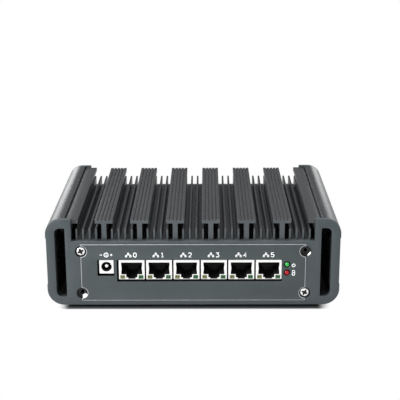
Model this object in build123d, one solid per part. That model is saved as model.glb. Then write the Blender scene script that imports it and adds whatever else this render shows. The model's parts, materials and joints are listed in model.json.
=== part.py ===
from build123d import *
import os

# A fanless network firewall. Its body is a finned heat sink held between two side
# extrusions, each with an air duct through it. A bezel and an inset port plate close each
# end, and the board hangs upside down from the heat sink. Lengths are millimetres. X runs
# across the front, Y from front to back and Z up. Shapes are drawn with Z = 0 at the
# body's underside, and save() lifts them onto the feet, so the finished origin is on the
# table under the middle.

# Body section
body_width = 182.4
body_height = 56.4
shoulder_radius = 9.2
heel_radius = 11.0
core_depth = 120.0
bezel_thickness = 3.0
foot_height = 2.4

# Heat sink between the shoulders. Insets run in from the body's sides and down from its top
recess_inset = 16.03
recess_depth = 13.85
rail_count = 6
rail_edge_trim = 1.83
web_thickness = 3.2
head_width = 11.3
head_drop = 1.3
head_thickness = 2.4
ridge_count = 5
ridge_groove_width = 1.25
ridge_groove_depth = 0.8
fin_thickness = 1.2
fin_height = 7.1
fin_first_offset = 4.9
fins_between = 4
lip_reach = 4.2
lip_thickness = 2.4
shoulder_flat_drop = 1.1
shoulder_groove_width = 1.0
shoulder_groove_depth = 1.6
shoulder_groove_inset = 3.7

# Air ducts through the sides
slot_inner_inset = 12.12
slot_outer_inset = 5.75
slot_low = 5.93
slot_top_inset = 6.29
slot_radius = 2.7
duct_relief = 0.4
rib_pitch = 1.0
duct_rib_depth = 0.75
duct_rib_margin = 6.0
side_recess_depth = 0.33
side_recess_low = 13.4
side_recess_top_inset = 11.6
side_rib_depth = 0.3

# Inner cavity and its screw rails
ceiling_thickness = 4.5
cavity_inset = 18.0
rail_width = 7.2
lower_rail_top = 11.4
upper_rail_height = 6.05
joint_gap = 0.1

# Bottom cover
cover_thickness = 2.0
cover_ledge = 1.4
cover_gap = 0.15
wall_bracket_spacing = 75.0
wall_bracket_hole_radius = 1.65
wall_bracket_boss_radius = 3.6
wall_bracket_boss_height = 3.0
vent_width = 2.0
vent_length = 16.0
vent_pitch = 5.0
vent_count = 9
vent_row_y = 14.0

# End plates
plate_inset = 21.35
plate_low = 2.85
plate_overlap = 2.15
plate_gap = 0.2
plate_edge = 0.4
outline_edge = 0.3

# M3 screws
screw_low_inset = 5.1
screw_high_inset = 4.8
head_seat_radius = 3.5
head_seat_depth = 2.1
screw_clear_radius = 1.7
screw_head_radius = 2.65
screw_head_height = 1.8
screw_head_rounding = 0.45
screw_shank_radius = 1.2
screw_tap_radius = 1.25
screw_tap_depth = 11.0
screw_length = 9.0
sink_tap_depth = 3.5
tap_end_gap = 1.0
cover_screw_end_gap = 2.0
cross_width = 0.75
cross_length = 3.1
cross_depth = 1.1

# Feet
foot_radius = 6.0
foot_tip_radius = 5.2
foot_screw_spacing = 9.6
foot_end_inset = 10.0

# Main board, hung under the heat sink
board_drop = 8.3
board_thickness = 1.6
board_side_gap = 0.4
board_end_gap = 0.7
standoff_side_inset = 3.4
standoff_back_inset = 14.3
standoff_width = 5.5
board_screw_radius = 2.4
board_screw_height = 1.6
board_screw_length = 6.0
board_screw_hole_radius = 1.6
part_gap = 1.0

# Network sockets
jack_width = 16.1
jack_height = 12.9
jack_depth = 21.0
jack_pitch = 17.05
jack_count = 6
jack_row_centre = 4.35
jack_face_inset = 0.6
shield_wall = 0.3
mouth_width = 12.5
mouth_height = 7.3
mouth_drop = 1.75
mouth_bulge = 0.66
mouth_bulge_half = 2.4
step_width = 6.8
step_height = 2.1
latch_width = 4.4
latch_height = 1.1
socket_depth = 15.0
contact_count = 8
contact_pitch = 1.02
contact_width = 0.45
contact_thickness = 0.35
contact_drop = 2.4
contact_start = 0.8
contact_flat = 2.0
contact_slope_end = 9.0
contact_end = 11.0
lamp_width = 3.1
lamp_height = 1.7
lamp_depth = 4.0
lamp_offset = 5.6
lamp_rise = 0.75
lamp_gap = 0.05
jack_window_side = 1.1
jack_window_last = 0.25
jack_window_low = 1.3
jack_window_high = 0.2

# Power socket, left of the network sockets
power_spacing = 7.575
power_width = 9.0
power_height = 9.0
power_depth = 11.0
power_bore_radius = 3.15
power_bore_gap = 0.1
power_bore_depth = 9.5
power_pin_radius = 1.2
power_pin_inset = 1.0
power_pin_rounding = 0.6
power_window_side = 1.1
power_window_low = 1.4

# Front lamps, right of the network sockets
lamp_spacing = 3.275
lamp_upper_drop = 2.95
lamp_lower_drop = 8.35
panel_lamp_radius = 1.6
panel_lamp_gap = 0.3
panel_lamp_rounding = 0.75
proud = 0.5
lamp_holder_width = 5.2
lamp_holder_depth = 6.5
lamp_holder_gap = 0.3
lamp_holder_margin = 2.2

# Rear ports
port_gap = 0.35
port_end_wall = 1.0
usb_width = 13.2
usb_height = 15.6
usb_depth = 17.5
usb_mouth_width = 12.4
usb_mouth_height = 5.2
usb_level_pitch = 7.4
usb_tongue_width = 10.8
usb_tongue_inset = 1.5
usb_tongue_thickness = 1.9
usb_tongue_below = 0.3
video_width = 15.0
video_height = 5.6
video_depth = 11.5
video_wall = 0.5
video_corner = 1.5
video_tongue_width = 10.0
video_tongue_inset = 1.2
video_tongue_thickness = 1.1
video_tongue_below = 0.2
plug_drop = 7.75
plug_hole_radius = 3.25
plug_gap = 0.1
plug_flange_radius = 4.4
plug_tail = 2.0

# Power button on the rear plate
button_drop = 8.25
button_radius = 4.0
button_gap = 0.3
button_edge = 0.4
button_travel = 0.8
button_cap_depth = 3.2
stem_radius = 1.5
stem_grip = 2.0
switch_width = 8.0
switch_depth = 7.0
switch_gap = 0.4

# Processor and its heat path
chip_size = 35.0
chip_height = 1.0
die_size = 20.0
die_height = 1.0
chip_y = 4.0
pad_thickness = 0.5
spreader_width = 64.0
spreader_length = 56.0

# Memory
module_length = 67.6
module_width = 30.0
module_thickness = 1.2
memory_inset = 38.0
memory_y = 27.0
socket_length = 73.0
socket_width = 6.4
socket_height = 5.2
card_grip = 4.0
module_drop = 3.2
memory_chip_count = 4
memory_chip_size = 11.0
memory_chip_height = 1.1
memory_chip_pitch = 15.5
memory_chip_inset = 14.0
latch_length = 20.0
latch_arm = 2.2
latch_post_radius = 1.6
latch_gap = 0.4
latch_arm_height = 4.6
latch_hook_reach = 1.6
latch_hook_length = 3.0
latch_hook_drop = 1.0

# Solid-state drive
drive_inset = 20.6
drive_width = 30.0
drive_length = 50.95
drive_thickness = 1.0
drive_socket_width = 32.0
drive_socket_depth = 7.0
drive_socket_height = 5.2
drive_hole_inset = 3.2
drive_post_radius = 2.2
drive_screw_height = 1.3
drive_screw_length = 3.5
drive_chip_count = 2
drive_chip_size = 14.0
drive_chip_height = 1.2
drive_chip_pitch = 17.0

# Coin cell
cell_radius = 10.0
cell_height = 3.2
cell_edge = 0.5
cell_inset = 30.0
cell_y = -13.0
cell_floor = 0.8
cell_gap = 0.2
cell_wall = 1.4
cell_show = 0.6
cell_notch_width = 8.0
cell_notch_reach = 3.0

# Small parts on the board
controller_size = 7.0
controller_height = 0.9
controller_gap = 1.4
choke_size = 7.0
choke_height = 4.0
choke_count = 2
choke_gap = 0.5
choke_pitch = 17.4
capacitor_radius = 3.2
capacitor_height = 6.0
capacitor_count = 3
capacitor_pitch = 7.5
capacitor_side_gap = 2.0
capacitor_end_gap = 0.8

# Worked out from the sizes above: the sections
body_half = body_width / 2
recess_half = body_half - recess_inset
cavity_half = body_half - cavity_inset
rail_half_low = cavity_half - rail_width
cover_half = cavity_half + cover_ledge
plate_half = body_half - plate_inset
slot_inner = body_half - slot_inner_inset
slot_outer = body_half - slot_outer_inset
slot_high = body_height - slot_top_inset
side_recess_high = body_height - side_recess_top_inset
floor_z = body_height - recess_depth
ceiling_z = floor_z - ceiling_thickness
upper_rail_low = ceiling_z - upper_rail_height
head_top_z = body_height - head_drop
shoulder_flat_z = body_height - shoulder_flat_drop
plate_high = ceiling_z + plate_overlap
rail_pitch = 2 * (recess_half + rail_edge_trim) / (rail_count + 1)

# The depths
core_front = -core_depth / 2
core_back = core_depth / 2
face_front = core_front - bezel_thickness
face_back = core_back + bezel_thickness
jack_front = face_front + jack_face_inset
screw_seat = face_front + head_seat_depth
cover_screw_y = core_depth / 3
sink_screw_y = core_depth / 4
foot_y = core_depth / 2 - foot_end_inset

# The end screws and feet
screw_x = cavity_half - rail_width / 2
screw_low_z = plate_low + screw_low_inset
screw_high_z = plate_high - screw_high_inset
screw_spots = [(side * screw_x, z) for side in (-1, 1) for z in (screw_low_z, screw_high_z)]
fitted_front = [(-screw_x, screw_high_z), (screw_x, screw_low_z)]
foot_x = screw_x - foot_screw_spacing

# The board and its screws
board_half = rail_half_low - board_side_gap
board_under_z = ceiling_z - board_drop
board_top_z = board_under_z + board_thickness
board_front = core_front + board_end_gap
board_back = core_back - board_end_gap
standoff_x = board_half - standoff_side_inset
standoff_front_y = jack_front + jack_depth + part_gap + board_screw_radius
standoff_back_y = board_back - standoff_back_inset
standoff_spots = [(side * standoff_x, y) for side in (-1, 1) for y in (standoff_front_y, standoff_back_y)]

# The front row
jack_xs = [jack_row_centre + (k - (jack_count - 1) / 2) * jack_pitch for k in range(jack_count)]
jack_low = board_under_z - jack_height
mouth_top = board_under_z - mouth_drop
step_top = mouth_top - mouth_height
latch_top = step_top - step_height
power_x = jack_xs[0] - jack_width / 2 - power_spacing
power_low = board_under_z - power_height
power_z = board_under_z - power_height / 2
lamp_x = jack_xs[-1] + jack_width / 2 + lamp_spacing
lamp_upper_z = board_under_z - lamp_upper_drop
lamp_lower_z = board_under_z - lamp_lower_drop

# The rear row: two plugs, two USB pairs, video, console and button, with even gaps
usb_span = usb_width + 2 * port_gap
rear_spans = [2 * plug_flange_radius, 2 * plug_flange_radius, usb_span, usb_span,
              video_width + 2 * port_gap, jack_width + 2 * port_gap, 2 * (button_radius + button_gap)]
rear_gap = (2 * plate_half - sum(rear_spans)) / (len(rear_spans) + 1)
rear_xs = [-plate_half + (k + 1) * rear_gap + sum(rear_spans[:k]) + rear_spans[k] / 2
           for k in range(len(rear_spans))]
plug_xs = rear_xs[:2]
usb_xs = rear_xs[2:4]
video_x, console_x, button_x = rear_xs[4:]
plug_z = board_under_z - plug_drop
button_z = board_under_z - button_drop

# Parts under the board
memory_x = -board_half + memory_inset
module_low = board_under_z - module_drop - module_thickness
card_end_y = memory_y + card_grip
drive_x = board_half - drive_inset
drive_low = board_under_z - module_drop - drive_thickness
drive_hole_y = card_end_y - drive_length + drive_hole_inset
cell_x = -board_half + cell_inset
cell_high = board_under_z - cell_floor
cell_ring_radius = cell_radius + cell_gap + cell_wall
controller_y = jack_front + jack_depth + controller_gap + controller_size / 2
choke_first_y = jack_front + power_depth + choke_gap + choke_size / 2
capacitor_x = drive_x - drive_width / 2 - capacitor_side_gap - capacitor_radius
capacitor_last_y = card_end_y - module_width - capacitor_end_gap - capacitor_radius


def block(x0, x1, y0, y1, z0, z1):
    """A box given by its limits."""
    centre = Pos((x0 + x1) / 2, (y0 + y1) / 2, (z0 + z1) / 2)
    return centre * Box(x1 - x0, y1 - y0, z1 - z0)


def bar(x, z, radius, y0, y1):
    """A round bar along Y."""
    return Pos(x, (y0 + y1) / 2, z) * Rot(90, 0, 0) * Cylinder(radius, y1 - y0)


def post(x, y, radius, z0, z1):
    """A round post along Z."""
    return Pos(x, y, (z0 + z1) / 2) * Cylinder(radius, z1 - z0)


def area(x0, x1, z0, z1):
    """A flat rectangle of a section, X across and height up."""
    return Pos((x0 + x1) / 2, (z0 + z1) / 2) * Rectangle(x1 - x0, z1 - z0)


def shape_of(points):
    """A flat face with straight sides through the points."""
    return make_face(Polyline(*points, close=True))


def run(section, y0, y1):
    """Carry a section, drawn with X across and height up, from y0 to y1."""
    return Pos(0, y1, 0) * Rot(90, 0, 0) * extrude(section, amount=y1 - y0, dir=(0, 0, 1))


def run_across(section, x0, x1):
    """Carry a section, drawn with depth across and height up, from x0 to x1."""
    return Pos(x0, 0, 0) * Rot(0, 0, 90) * Rot(90, 0, 0) * extrude(section, amount=x1 - x0, dir=(0, 0, 1))


def both_sides(shape):
    """The shape with its mirror image across the middle."""
    return shape + mirror(shape, about=Plane.YZ)


def turned(shape):
    """The shape turned half round, from the front end to the rear."""
    return Rot(0, 0, 180) * shape


def zigzag(x_root, x_tip, z0, z1):
    """Points of a row of ribs up a wall, one rib_pitch each."""
    count = max(1, int((z1 - z0) / rib_pitch))
    step = (z1 - z0) / count
    points = [(x_root, z0)]
    for k in range(count):
        points.append((x_tip, z0 + (k + 0.5) * step))
        points.append((x_root, z0 + (k + 1) * step))
    return points


# ---------------------------------------------------------------- casing

def body_outline():
    """End outline of the body, with round shoulders and rounder lower corners."""
    shape = area(-body_width / 2, body_width / 2, 0, body_height)
    shape = fillet(shape.vertices().sort_by(Axis.Y)[-2:], shoulder_radius)
    return fillet(shape.vertices().sort_by(Axis.Y)[:2], heel_radius)


def slot_area(relief):
    """The tall slot on the right side, its outer corners round."""
    shape = area(slot_inner - relief, slot_outer + relief, slot_low - relief, slot_high + relief)
    return fillet(shape.vertices().sort_by(Axis.X)[-2:], slot_radius + relief)


def duct_area():
    """The right duct, with ribs standing on its outer wall."""
    wall = slot_outer + duct_relief
    low = slot_low + duct_rib_margin
    high = slot_high - duct_rib_margin
    ribs = shape_of([(wall + 1, low)] + zigzag(wall, wall - duct_rib_depth, low, high) + [(wall + 1, high)])
    return slot_area(duct_relief) - ribs


def side_relief():
    """What the ribbed recess takes off the right outer face."""
    ridge = body_width / 2 - side_recess_depth
    points = zigzag(ridge - side_rib_depth, ridge, side_recess_low, side_recess_high)
    outside = body_width / 2 + 1
    return shape_of([(outside, side_recess_low)] + points + [(outside, side_recess_high)])


def rail_section(x):
    """One T-shaped cooling rail, with V grooves along its head."""
    head_low = head_top_z - head_thickness
    rail = area(x - web_thickness / 2, x + web_thickness / 2, floor_z - 1, head_low)
    rail += area(x - head_width / 2, x + head_width / 2, head_low, head_top_z)
    for k in range(1, ridge_count):
        middle = x - head_width / 2 + k * head_width / ridge_count
        left = middle - ridge_groove_width / 2
        right = middle + ridge_groove_width / 2
        rail -= shape_of([(left, head_top_z), (middle, head_top_z - ridge_groove_depth), (right, head_top_z)])
    return rail


def cooling_section():
    """Rails and thin fins, standing on the recess floor."""
    rail_xs = [(k - (rail_count - 1) / 2) * rail_pitch for k in range(rail_count)]
    fin_pitch = (rail_pitch - 2 * fin_first_offset) / (fins_between - 1)
    shapes = [rail_section(x) for x in rail_xs]
    for gap in range(rail_count + 1):
        start = rail_xs[0] + (gap - 1) * rail_pitch + fin_first_offset
        for k in range(fins_between):
            left = start + k * fin_pitch - fin_thickness / 2
            shapes.append(area(left, left + fin_thickness, floor_z - 1, floor_z + fin_height))
    return Sketch() + shapes


def side_section():
    """Section of both side extrusions: shoulders, lips, ducts, walls and screw rails."""
    section = body_outline()
    section -= area(-recess_half, recess_half, ceiling_z, body_height + 1)
    groove_x = recess_half + shoulder_groove_inset
    section -= both_sides(area(recess_half - 1, groove_x, shoulder_flat_z, body_height + 1))
    section -= both_sides(area(groove_x - shoulder_groove_width / 2, groove_x + shoulder_groove_width / 2,
                               shoulder_flat_z - shoulder_groove_depth, body_height + 1))
    section -= both_sides(duct_area())
    section -= both_sides(side_relief())
    section -= area(-cavity_half, cavity_half, -1, ceiling_z)
    section -= area(-cover_half - cover_gap, cover_half + cover_gap, -1, cover_thickness)
    section += both_sides(area(rail_half_low, cavity_half + 1, cover_thickness, lower_rail_top))
    section += both_sides(area(rail_half_low, cavity_half + 1, upper_rail_low, ceiling_z))
    lip_low = shoulder_flat_z - lip_thickness
    section += both_sides(area(recess_half - lip_reach, recess_half + 1, lip_low, shoulder_flat_z))
    return section


def side_profile(side):
    """One side extrusion, with the tapped holes at its ends and below its rails."""
    outer = side * (body_half + 1)
    half = area(min(0, outer), max(0, outer), -1, body_height + 1)
    body = run(side_section() & half, core_front, core_back)
    x = side * screw_x
    for z in (screw_low_z, screw_high_z):
        body -= bar(x, z, screw_tap_radius, core_front, core_front + screw_tap_depth)
        body -= bar(x, z, screw_tap_radius, core_back - screw_tap_depth, core_back)
    for y in (-cover_screw_y, cover_screw_y):
        body -= post(x, y, screw_tap_radius, cover_thickness, lower_rail_top - tap_end_gap)
    for y in (-sink_screw_y, sink_screw_y):
        body -= post(x, y, screw_clear_radius, upper_rail_low, ceiling_z)
    return body


def heat_sink():
    """The finned plate between the side extrusions. It is also the ceiling of the cavity."""
    half = recess_half - joint_gap
    body = run(area(-half, half, ceiling_z, floor_z) + cooling_section(), core_front, core_back)
    for x in (-screw_x, screw_x):
        for y in (-sink_screw_y, sink_screw_y):
            body -= post(x, y, screw_tap_radius, ceiling_z, ceiling_z + sink_tap_depth)
    return body


def corner_seats():
    """What the four corner screws take out of the front bezel and plate."""
    seats = [bar(x, z, head_seat_radius, face_front, screw_seat) for x, z in screw_spots]
    seats += [bar(x, z, screw_clear_radius, face_front, core_front) for x, z in screw_spots]
    return seats


def front_edges(solid, y):
    """Edges of a solid that lie in the plane at depth y."""
    return [edge for edge in solid.edges() if abs(edge.bounding_box().min.Y - y) < 1e-4
            and abs(edge.bounding_box().max.Y - y) < 1e-4]


def bezel():
    """The front end frame. The rear one is the same piece turned round."""
    section = body_outline() - area(-recess_half, recess_half, floor_z, body_height + 1)
    frame = run(section, face_front, core_front)
    frame = chamfer(front_edges(frame, face_front), outline_edge)
    half = plate_half + plate_gap
    window = run(area(-half, half, plate_low - plate_gap, plate_high + plate_gap), face_front, core_front)
    frame -= window
    frame -= run(both_sides(slot_area(0)), face_front, core_front)
    return frame_lengths(frame - corner_seats())


def frame_lengths(frame):
    """An end frame in plain lengths that meet flush beside its window and level with its screws."""
    half = plate_half + plate_gap
    outside = body_width / 2 + 1
    top = body_height + 1
    cells = [(-half, half, -1, top)]
    for x0, x1 in ((-outside, -half), (half, outside)):
        cells += [(x0, x1, -1, screw_low_z), (x0, x1, screw_low_z, screw_high_z), (x0, x1, screw_high_z, top)]
    lengths = [frame & block(x0, x1, face_front - 1, core_front + 1, z0, z1) for x0, x1, z0, z1 in cells]
    return [solid for length in lengths for solid in length.solids()]


def blank_plate():
    """An end plate before its port openings, with its front edge bevelled."""
    plate = block(-plate_half, plate_half, face_front, core_front, plate_low, plate_high)
    plate = chamfer(front_edges(plate, face_front), plate_edge)
    return plate - corner_seats()


def front_plate():
    """The port plate at the front."""
    left = jack_xs[0] - jack_width / 2 - jack_window_side
    right = jack_xs[-1] + jack_width / 2 + jack_window_last
    low = jack_low - jack_window_low
    high = board_under_z + jack_window_high
    plate = blank_plate() - block(left, right, face_front, core_front, low, high)
    plate -= block(power_x - power_width / 2 - power_window_side, power_x + power_width / 2 + port_gap,
                   face_front, core_front, power_low - power_window_low, high)
    for z in (lamp_lower_z, lamp_upper_z):
        plate -= bar(lamp_x, z, panel_lamp_radius + panel_lamp_gap, face_front, core_front)
    return plate


def port_opening(x, width, height):
    """The opening round a rear port that hangs from the board."""
    return block(x - width / 2 - port_gap, x + width / 2 + port_gap, core_back, face_back,
                 board_under_z - height - port_gap, board_under_z + port_gap)


def rear_plate():
    """The port plate at the back."""
    plate = turned(blank_plate())
    plate -= port_opening(console_x, jack_width, jack_height)
    plate -= port_opening(video_x, video_width, video_height)
    for x in usb_xs:
        plate -= port_opening(x, usb_width, usb_height)
    plate -= bar(button_x, button_z, button_radius + button_gap, core_back, face_back)
    for x in plug_xs:
        plate -= bar(x, plug_z, plug_hole_radius, core_back, face_back)
    return plate


def bottom_cover():
    """The sheet under the body, with vents and a square of tapped bosses."""
    end = core_depth / 2 - cover_gap
    cover = block(-cover_half, cover_half, -end, end, 0, cover_thickness)
    spacing = wall_bracket_spacing / 2
    boss_top = cover_thickness + wall_bracket_boss_height
    for x in (-spacing, spacing):
        for y in (-spacing, spacing):
            cover += post(x, y, wall_bracket_boss_radius, cover_thickness, boss_top)
            cover -= post(x, y, wall_bracket_hole_radius, 0, boss_top)
    countersink = Cone(screw_head_radius + cover_gap, screw_clear_radius, cover_thickness)
    for x in (-screw_x, screw_x):
        for y in (-cover_screw_y, cover_screw_y):
            cover -= post(x, y, screw_clear_radius, 0, cover_thickness)
            cover -= Pos(x, y, cover_thickness / 2) * countersink
    slot = extrude(SlotOverall(vent_length, vent_width, rotation=90), amount=cover_thickness)
    for row in (-vent_row_y, vent_row_y):
        for k in range(vent_count):
            cover -= Pos((k - (vent_count - 1) / 2) * vent_pitch, row, 0) * slot
    return cover


def feet():
    """Four rubber feet under the cover."""
    foot = Pos(0, 0, -foot_height / 2) * Cone(foot_tip_radius, foot_radius, foot_height)
    return [Pos(x, y, 0) * foot for x in (-foot_x, foot_x) for y in (-foot_y, foot_y)]


# ---------------------------------------------------------------- screws

def cross_recess(depth):
    """A cross-shaped driver recess going down from Z = 0."""
    cut = Pos(0, 0, -depth / 2) * Box(cross_length, cross_width, depth)
    return cut + Rot(0, 0, 90) * cut


def pan_screw(head_radius, head_height, shank_radius, length):
    """A pan-head screw standing on Z = 0, head up and shank down."""
    head = Pos(0, 0, head_height / 2) * Cylinder(head_radius, head_height)
    head = fillet(head.edges().group_by(Axis.Z)[-1], head_height * screw_head_rounding)
    head -= Pos(0, 0, head_height) * cross_recess(cross_depth)
    return head + Pos(0, 0, -length / 2) * Cylinder(shank_radius, length)


def end_screws(spots):
    """Corner screws of the front plate, heads towards the viewer."""
    screw = pan_screw(screw_head_radius, screw_head_height, screw_shank_radius, screw_length)
    return [Pos(x, screw_seat, z) * Rot(90, 0, 0) * screw for x, z in spots]


def cover_screws():
    """Countersunk screws that hold the bottom cover to the lower rails."""
    head = Cone(screw_head_radius, screw_clear_radius - cover_gap, cover_thickness)
    shank = post(0, 0, screw_shank_radius, cover_thickness, lower_rail_top - cover_screw_end_gap)
    screw = Pos(0, 0, cover_thickness / 2) * head + shank - Rot(180, 0, 0) * cross_recess(cross_depth)
    return [Pos(x, y, 0) * screw for x in (-screw_x, screw_x) for y in (-cover_screw_y, cover_screw_y)]


def heat_sink_screws():
    """Screws up through the upper rails that hold the heat sink down."""
    screw = pan_screw(screw_head_radius, screw_head_height, screw_shank_radius, screw_length)
    screw = Rot(180, 0, 0) * screw
    ys = (-sink_screw_y, sink_screw_y)
    return [Pos(x, y, upper_rail_low) * screw for x in (-screw_x, screw_x) for y in ys]


# ---------------------------------------------------------------- network sockets

def mouth_area(x):
    """The socket mouth: a wide opening with springs at its sides and a latch notch below."""
    shape = area(x - mouth_width / 2, x + mouth_width / 2, step_top, mouth_top)
    bulge_radius = (mouth_bulge_half ** 2 + mouth_bulge ** 2) / (2 * mouth_bulge)
    offset = mouth_width / 2 + bulge_radius - mouth_bulge
    for side in (-1, 1):
        shape -= Pos(x + side * offset, (step_top + mouth_top) / 2) * Circle(bulge_radius)
    shape += area(x - step_width / 2, x + step_width / 2, latch_top, step_top)
    return shape + area(x - latch_width / 2, x + latch_width / 2, latch_top - latch_height, latch_top)


def lamp_blocks(x, gap):
    """The two lamp windows at the foot of a socket, as left and right blocks."""
    low = jack_low + lamp_rise
    blocks = []
    for side in (-1, 1):
        middle = x + side * lamp_offset
        blocks.append(block(middle - lamp_width / 2 - gap, middle + lamp_width / 2 + gap, jack_front,
                            jack_front + lamp_depth + gap, low - gap, low + lamp_height + gap))
    return blocks


def jack_inside(x):
    """The space inside a socket's shield."""
    return block(x - jack_width / 2 + shield_wall, x + jack_width / 2 - shield_wall, jack_front + shield_wall,
                 jack_front + jack_depth - shield_wall, jack_low + shield_wall, board_under_z - shield_wall)


def jack_shield(x):
    """The plated shield of one network socket."""
    half = jack_width / 2
    shell = block(x - half, x + half, jack_front, jack_front + jack_depth, jack_low, board_under_z)
    shell -= jack_inside(x)
    shell -= run(mouth_area(x), jack_front, jack_front + shield_wall)
    front = block(x - half, x + half, jack_front, jack_front + shield_wall, jack_low, board_under_z)
    return shell - [window & front for window in lamp_blocks(x, lamp_gap)]


def jack_insert(x):
    """The moulded body inside a shield, open at its mouth."""
    front = jack_front + shield_wall
    body = jack_inside(x)
    body -= block(x - mouth_width / 2, x + mouth_width / 2, front, front + socket_depth, step_top, mouth_top)
    body -= block(x - step_width / 2, x + step_width / 2, front, front + socket_depth, latch_top, step_top)
    body -= block(x - latch_width / 2, x + latch_width / 2, front, front + socket_depth,
                  latch_top - latch_height, latch_top)
    return body - lamp_blocks(x, lamp_gap)


def jack_contacts(x):
    """The eight sprung contacts under the roof of a socket."""
    y = jack_front + shield_wall + contact_start
    low = mouth_top - contact_drop
    points = [(y, mouth_top), (y + contact_flat, mouth_top),
              (y + contact_slope_end, low + contact_thickness), (y + contact_end, low + contact_thickness),
              (y + contact_end, low), (y + contact_slope_end, low),
              (y + contact_flat, mouth_top - contact_thickness), (y, mouth_top - contact_thickness)]
    strip = shape_of(points)
    starts = [x + (k - (contact_count - 1) / 2) * contact_pitch for k in range(contact_count)]
    return [run_across(strip, start - contact_width / 2, start + contact_width / 2) for start in starts]


def power_shield():
    """The plated case of the power socket."""
    x0 = power_x - power_width / 2
    x1 = power_x + power_width / 2
    shell = block(x0, x1, jack_front, jack_front + power_depth, power_low, board_under_z)
    shell -= power_inside()
    radius = power_bore_radius + power_bore_gap
    return shell - bar(power_x, power_z, radius, jack_front, jack_front + shield_wall)


def power_inside():
    """The space inside the power socket's case."""
    half = power_width / 2 - shield_wall
    front = jack_front + shield_wall
    back = jack_front + power_depth - shield_wall
    low = power_low + shield_wall
    return block(power_x - half, power_x + half, front, back, low, board_under_z - shield_wall)


def power_body():
    """The moulded body of the power socket, bored for the plug."""
    front = jack_front + shield_wall
    return power_inside() - bar(power_x, power_z, power_bore_radius, front, front + power_bore_depth)


def power_pin():
    """The centre contact of the power socket, with a round tip."""
    tip = jack_front + power_pin_inset
    end = jack_front + shield_wall + power_bore_depth
    pin = bar(power_x, power_z, power_pin_radius, tip, end)
    return fillet(pin.edges().sort_by(Axis.Y)[0], power_pin_radius * power_pin_rounding)


# ---------------------------------------------------------------- front lamps

def lamp_holder():
    """The black block that carries both front lamps below the board."""
    front = core_front + lamp_holder_gap
    half = lamp_holder_width / 2
    return block(lamp_x - half, lamp_x + half, front, front + lamp_holder_depth,
                 lamp_lower_z - lamp_holder_margin, board_under_z)


def panel_lamp(z):
    """One round-nosed lamp, from its holder through the front plate."""
    lamp = bar(lamp_x, z, panel_lamp_radius, face_front - proud, core_front + lamp_holder_gap)
    return fillet(lamp.edges().sort_by(Axis.Y)[0], panel_lamp_radius * panel_lamp_rounding)


# ---------------------------------------------------------------- rear ports

def console_shield():
    """The shield of the rear console socket."""
    return turned(jack_shield(-console_x))


def console_insert():
    """The moulded body of the rear console socket."""
    return turned(jack_insert(-console_x))


def usb_levels():
    """Heights of the two mouths of a stacked USB socket."""
    middle = board_under_z - usb_height / 2
    return [middle - usb_level_pitch / 2, middle + usb_level_pitch / 2]


def usb_shell(x):
    """The case of a pair of stacked USB sockets, drawn at the front end."""
    half = usb_width / 2
    shell = block(x - half, x + half, jack_front, jack_front + usb_depth,
                  board_under_z - usb_height, board_under_z)
    half = usb_mouth_width / 2
    for z in usb_levels():
        shell -= block(x - half, x + half, jack_front, jack_front + usb_depth - port_end_wall,
                       z - usb_mouth_height / 2, z + usb_mouth_height / 2)
    return shell


def usb_tongues(x):
    """The tongues inside a pair of stacked USB sockets, drawn at the front end."""
    back = jack_front + usb_depth - port_end_wall
    half = usb_tongue_width / 2
    lows = [z - usb_tongue_below for z in usb_levels()]
    return [block(x - half, x + half, jack_front + usb_tongue_inset, back, low, low + usb_tongue_thickness)
            for low in lows]


def video_shell():
    """The case of the video socket, its mouth with two cut lower corners, at the front end."""
    low = board_under_z - video_height
    half = video_width / 2
    shell = block(-video_x - half, -video_x + half, jack_front, jack_front + video_depth, low, board_under_z)
    top = board_under_z - video_wall
    bottom = low + video_wall
    wide = half - video_wall
    narrow = wide - video_corner
    mouth = shape_of([(-wide, top), (wide, top), (wide, bottom + video_corner), (narrow, bottom),
                      (-narrow, bottom), (-wide, bottom + video_corner)])
    return shell - Pos(-video_x, 0, 0) * run(mouth, jack_front, jack_front + video_depth - port_end_wall)


def video_tongue():
    """The tongue inside the video socket, drawn at the front end."""
    low = board_under_z - video_height / 2 - video_tongue_below
    half = video_tongue_width / 2
    back = jack_front + video_depth - port_end_wall
    return block(-video_x - half, -video_x + half, jack_front + video_tongue_inset, back,
                 low, low + video_tongue_thickness)


def antenna_plug(x):
    """A blanking plug in an unused antenna hole."""
    plug = bar(x, plug_z, plug_flange_radius, face_back, face_back + proud)
    return plug + bar(x, plug_z, plug_hole_radius - plug_gap, core_back - plug_tail, face_back)


def button_cap():
    """The power button: a cap through the rear plate and a stem to the switch."""
    front = face_back + proud
    cap_back = front - button_cap_depth
    cap = bar(button_x, button_z, button_radius, cap_back, front)
    cap = chamfer(cap.edges().sort_by(Axis.Y)[-1], button_edge)
    stem_end = cap_back - switch_gap - button_travel - stem_grip
    return cap + bar(button_x, button_z, stem_radius, stem_end, cap_back)


def button_switch():
    """The push switch behind the button, hung from the board."""
    face = face_back + proud - button_cap_depth - switch_gap - button_travel
    half = switch_width / 2
    body = block(button_x - half, button_x + half, face - switch_depth, face, button_z - half, board_under_z)
    bore_end = face - stem_grip - button_travel - switch_gap
    return body - bar(button_x, button_z, stem_radius + button_gap, bore_end, face)


# ---------------------------------------------------------------- board

def mainboard():
    """The printed circuit board."""
    board = block(-board_half, board_half, board_front, board_back, board_under_z, board_top_z)
    for x, y in standoff_spots:
        board -= post(x, y, board_screw_hole_radius, board_under_z, board_top_z)
    return board


def standoffs():
    """Hexagonal posts between the board and the heat sink."""
    hexagon = RegularPolygon(standoff_width / 2, 6, major_radius=False)
    pillar = Pos(0, 0, board_top_z) * extrude(hexagon, amount=ceiling_z - board_top_z)
    pillar -= post(0, 0, screw_tap_radius, board_top_z, ceiling_z - tap_end_gap)
    return [Pos(x, y, 0) * pillar for x, y in standoff_spots]


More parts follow.
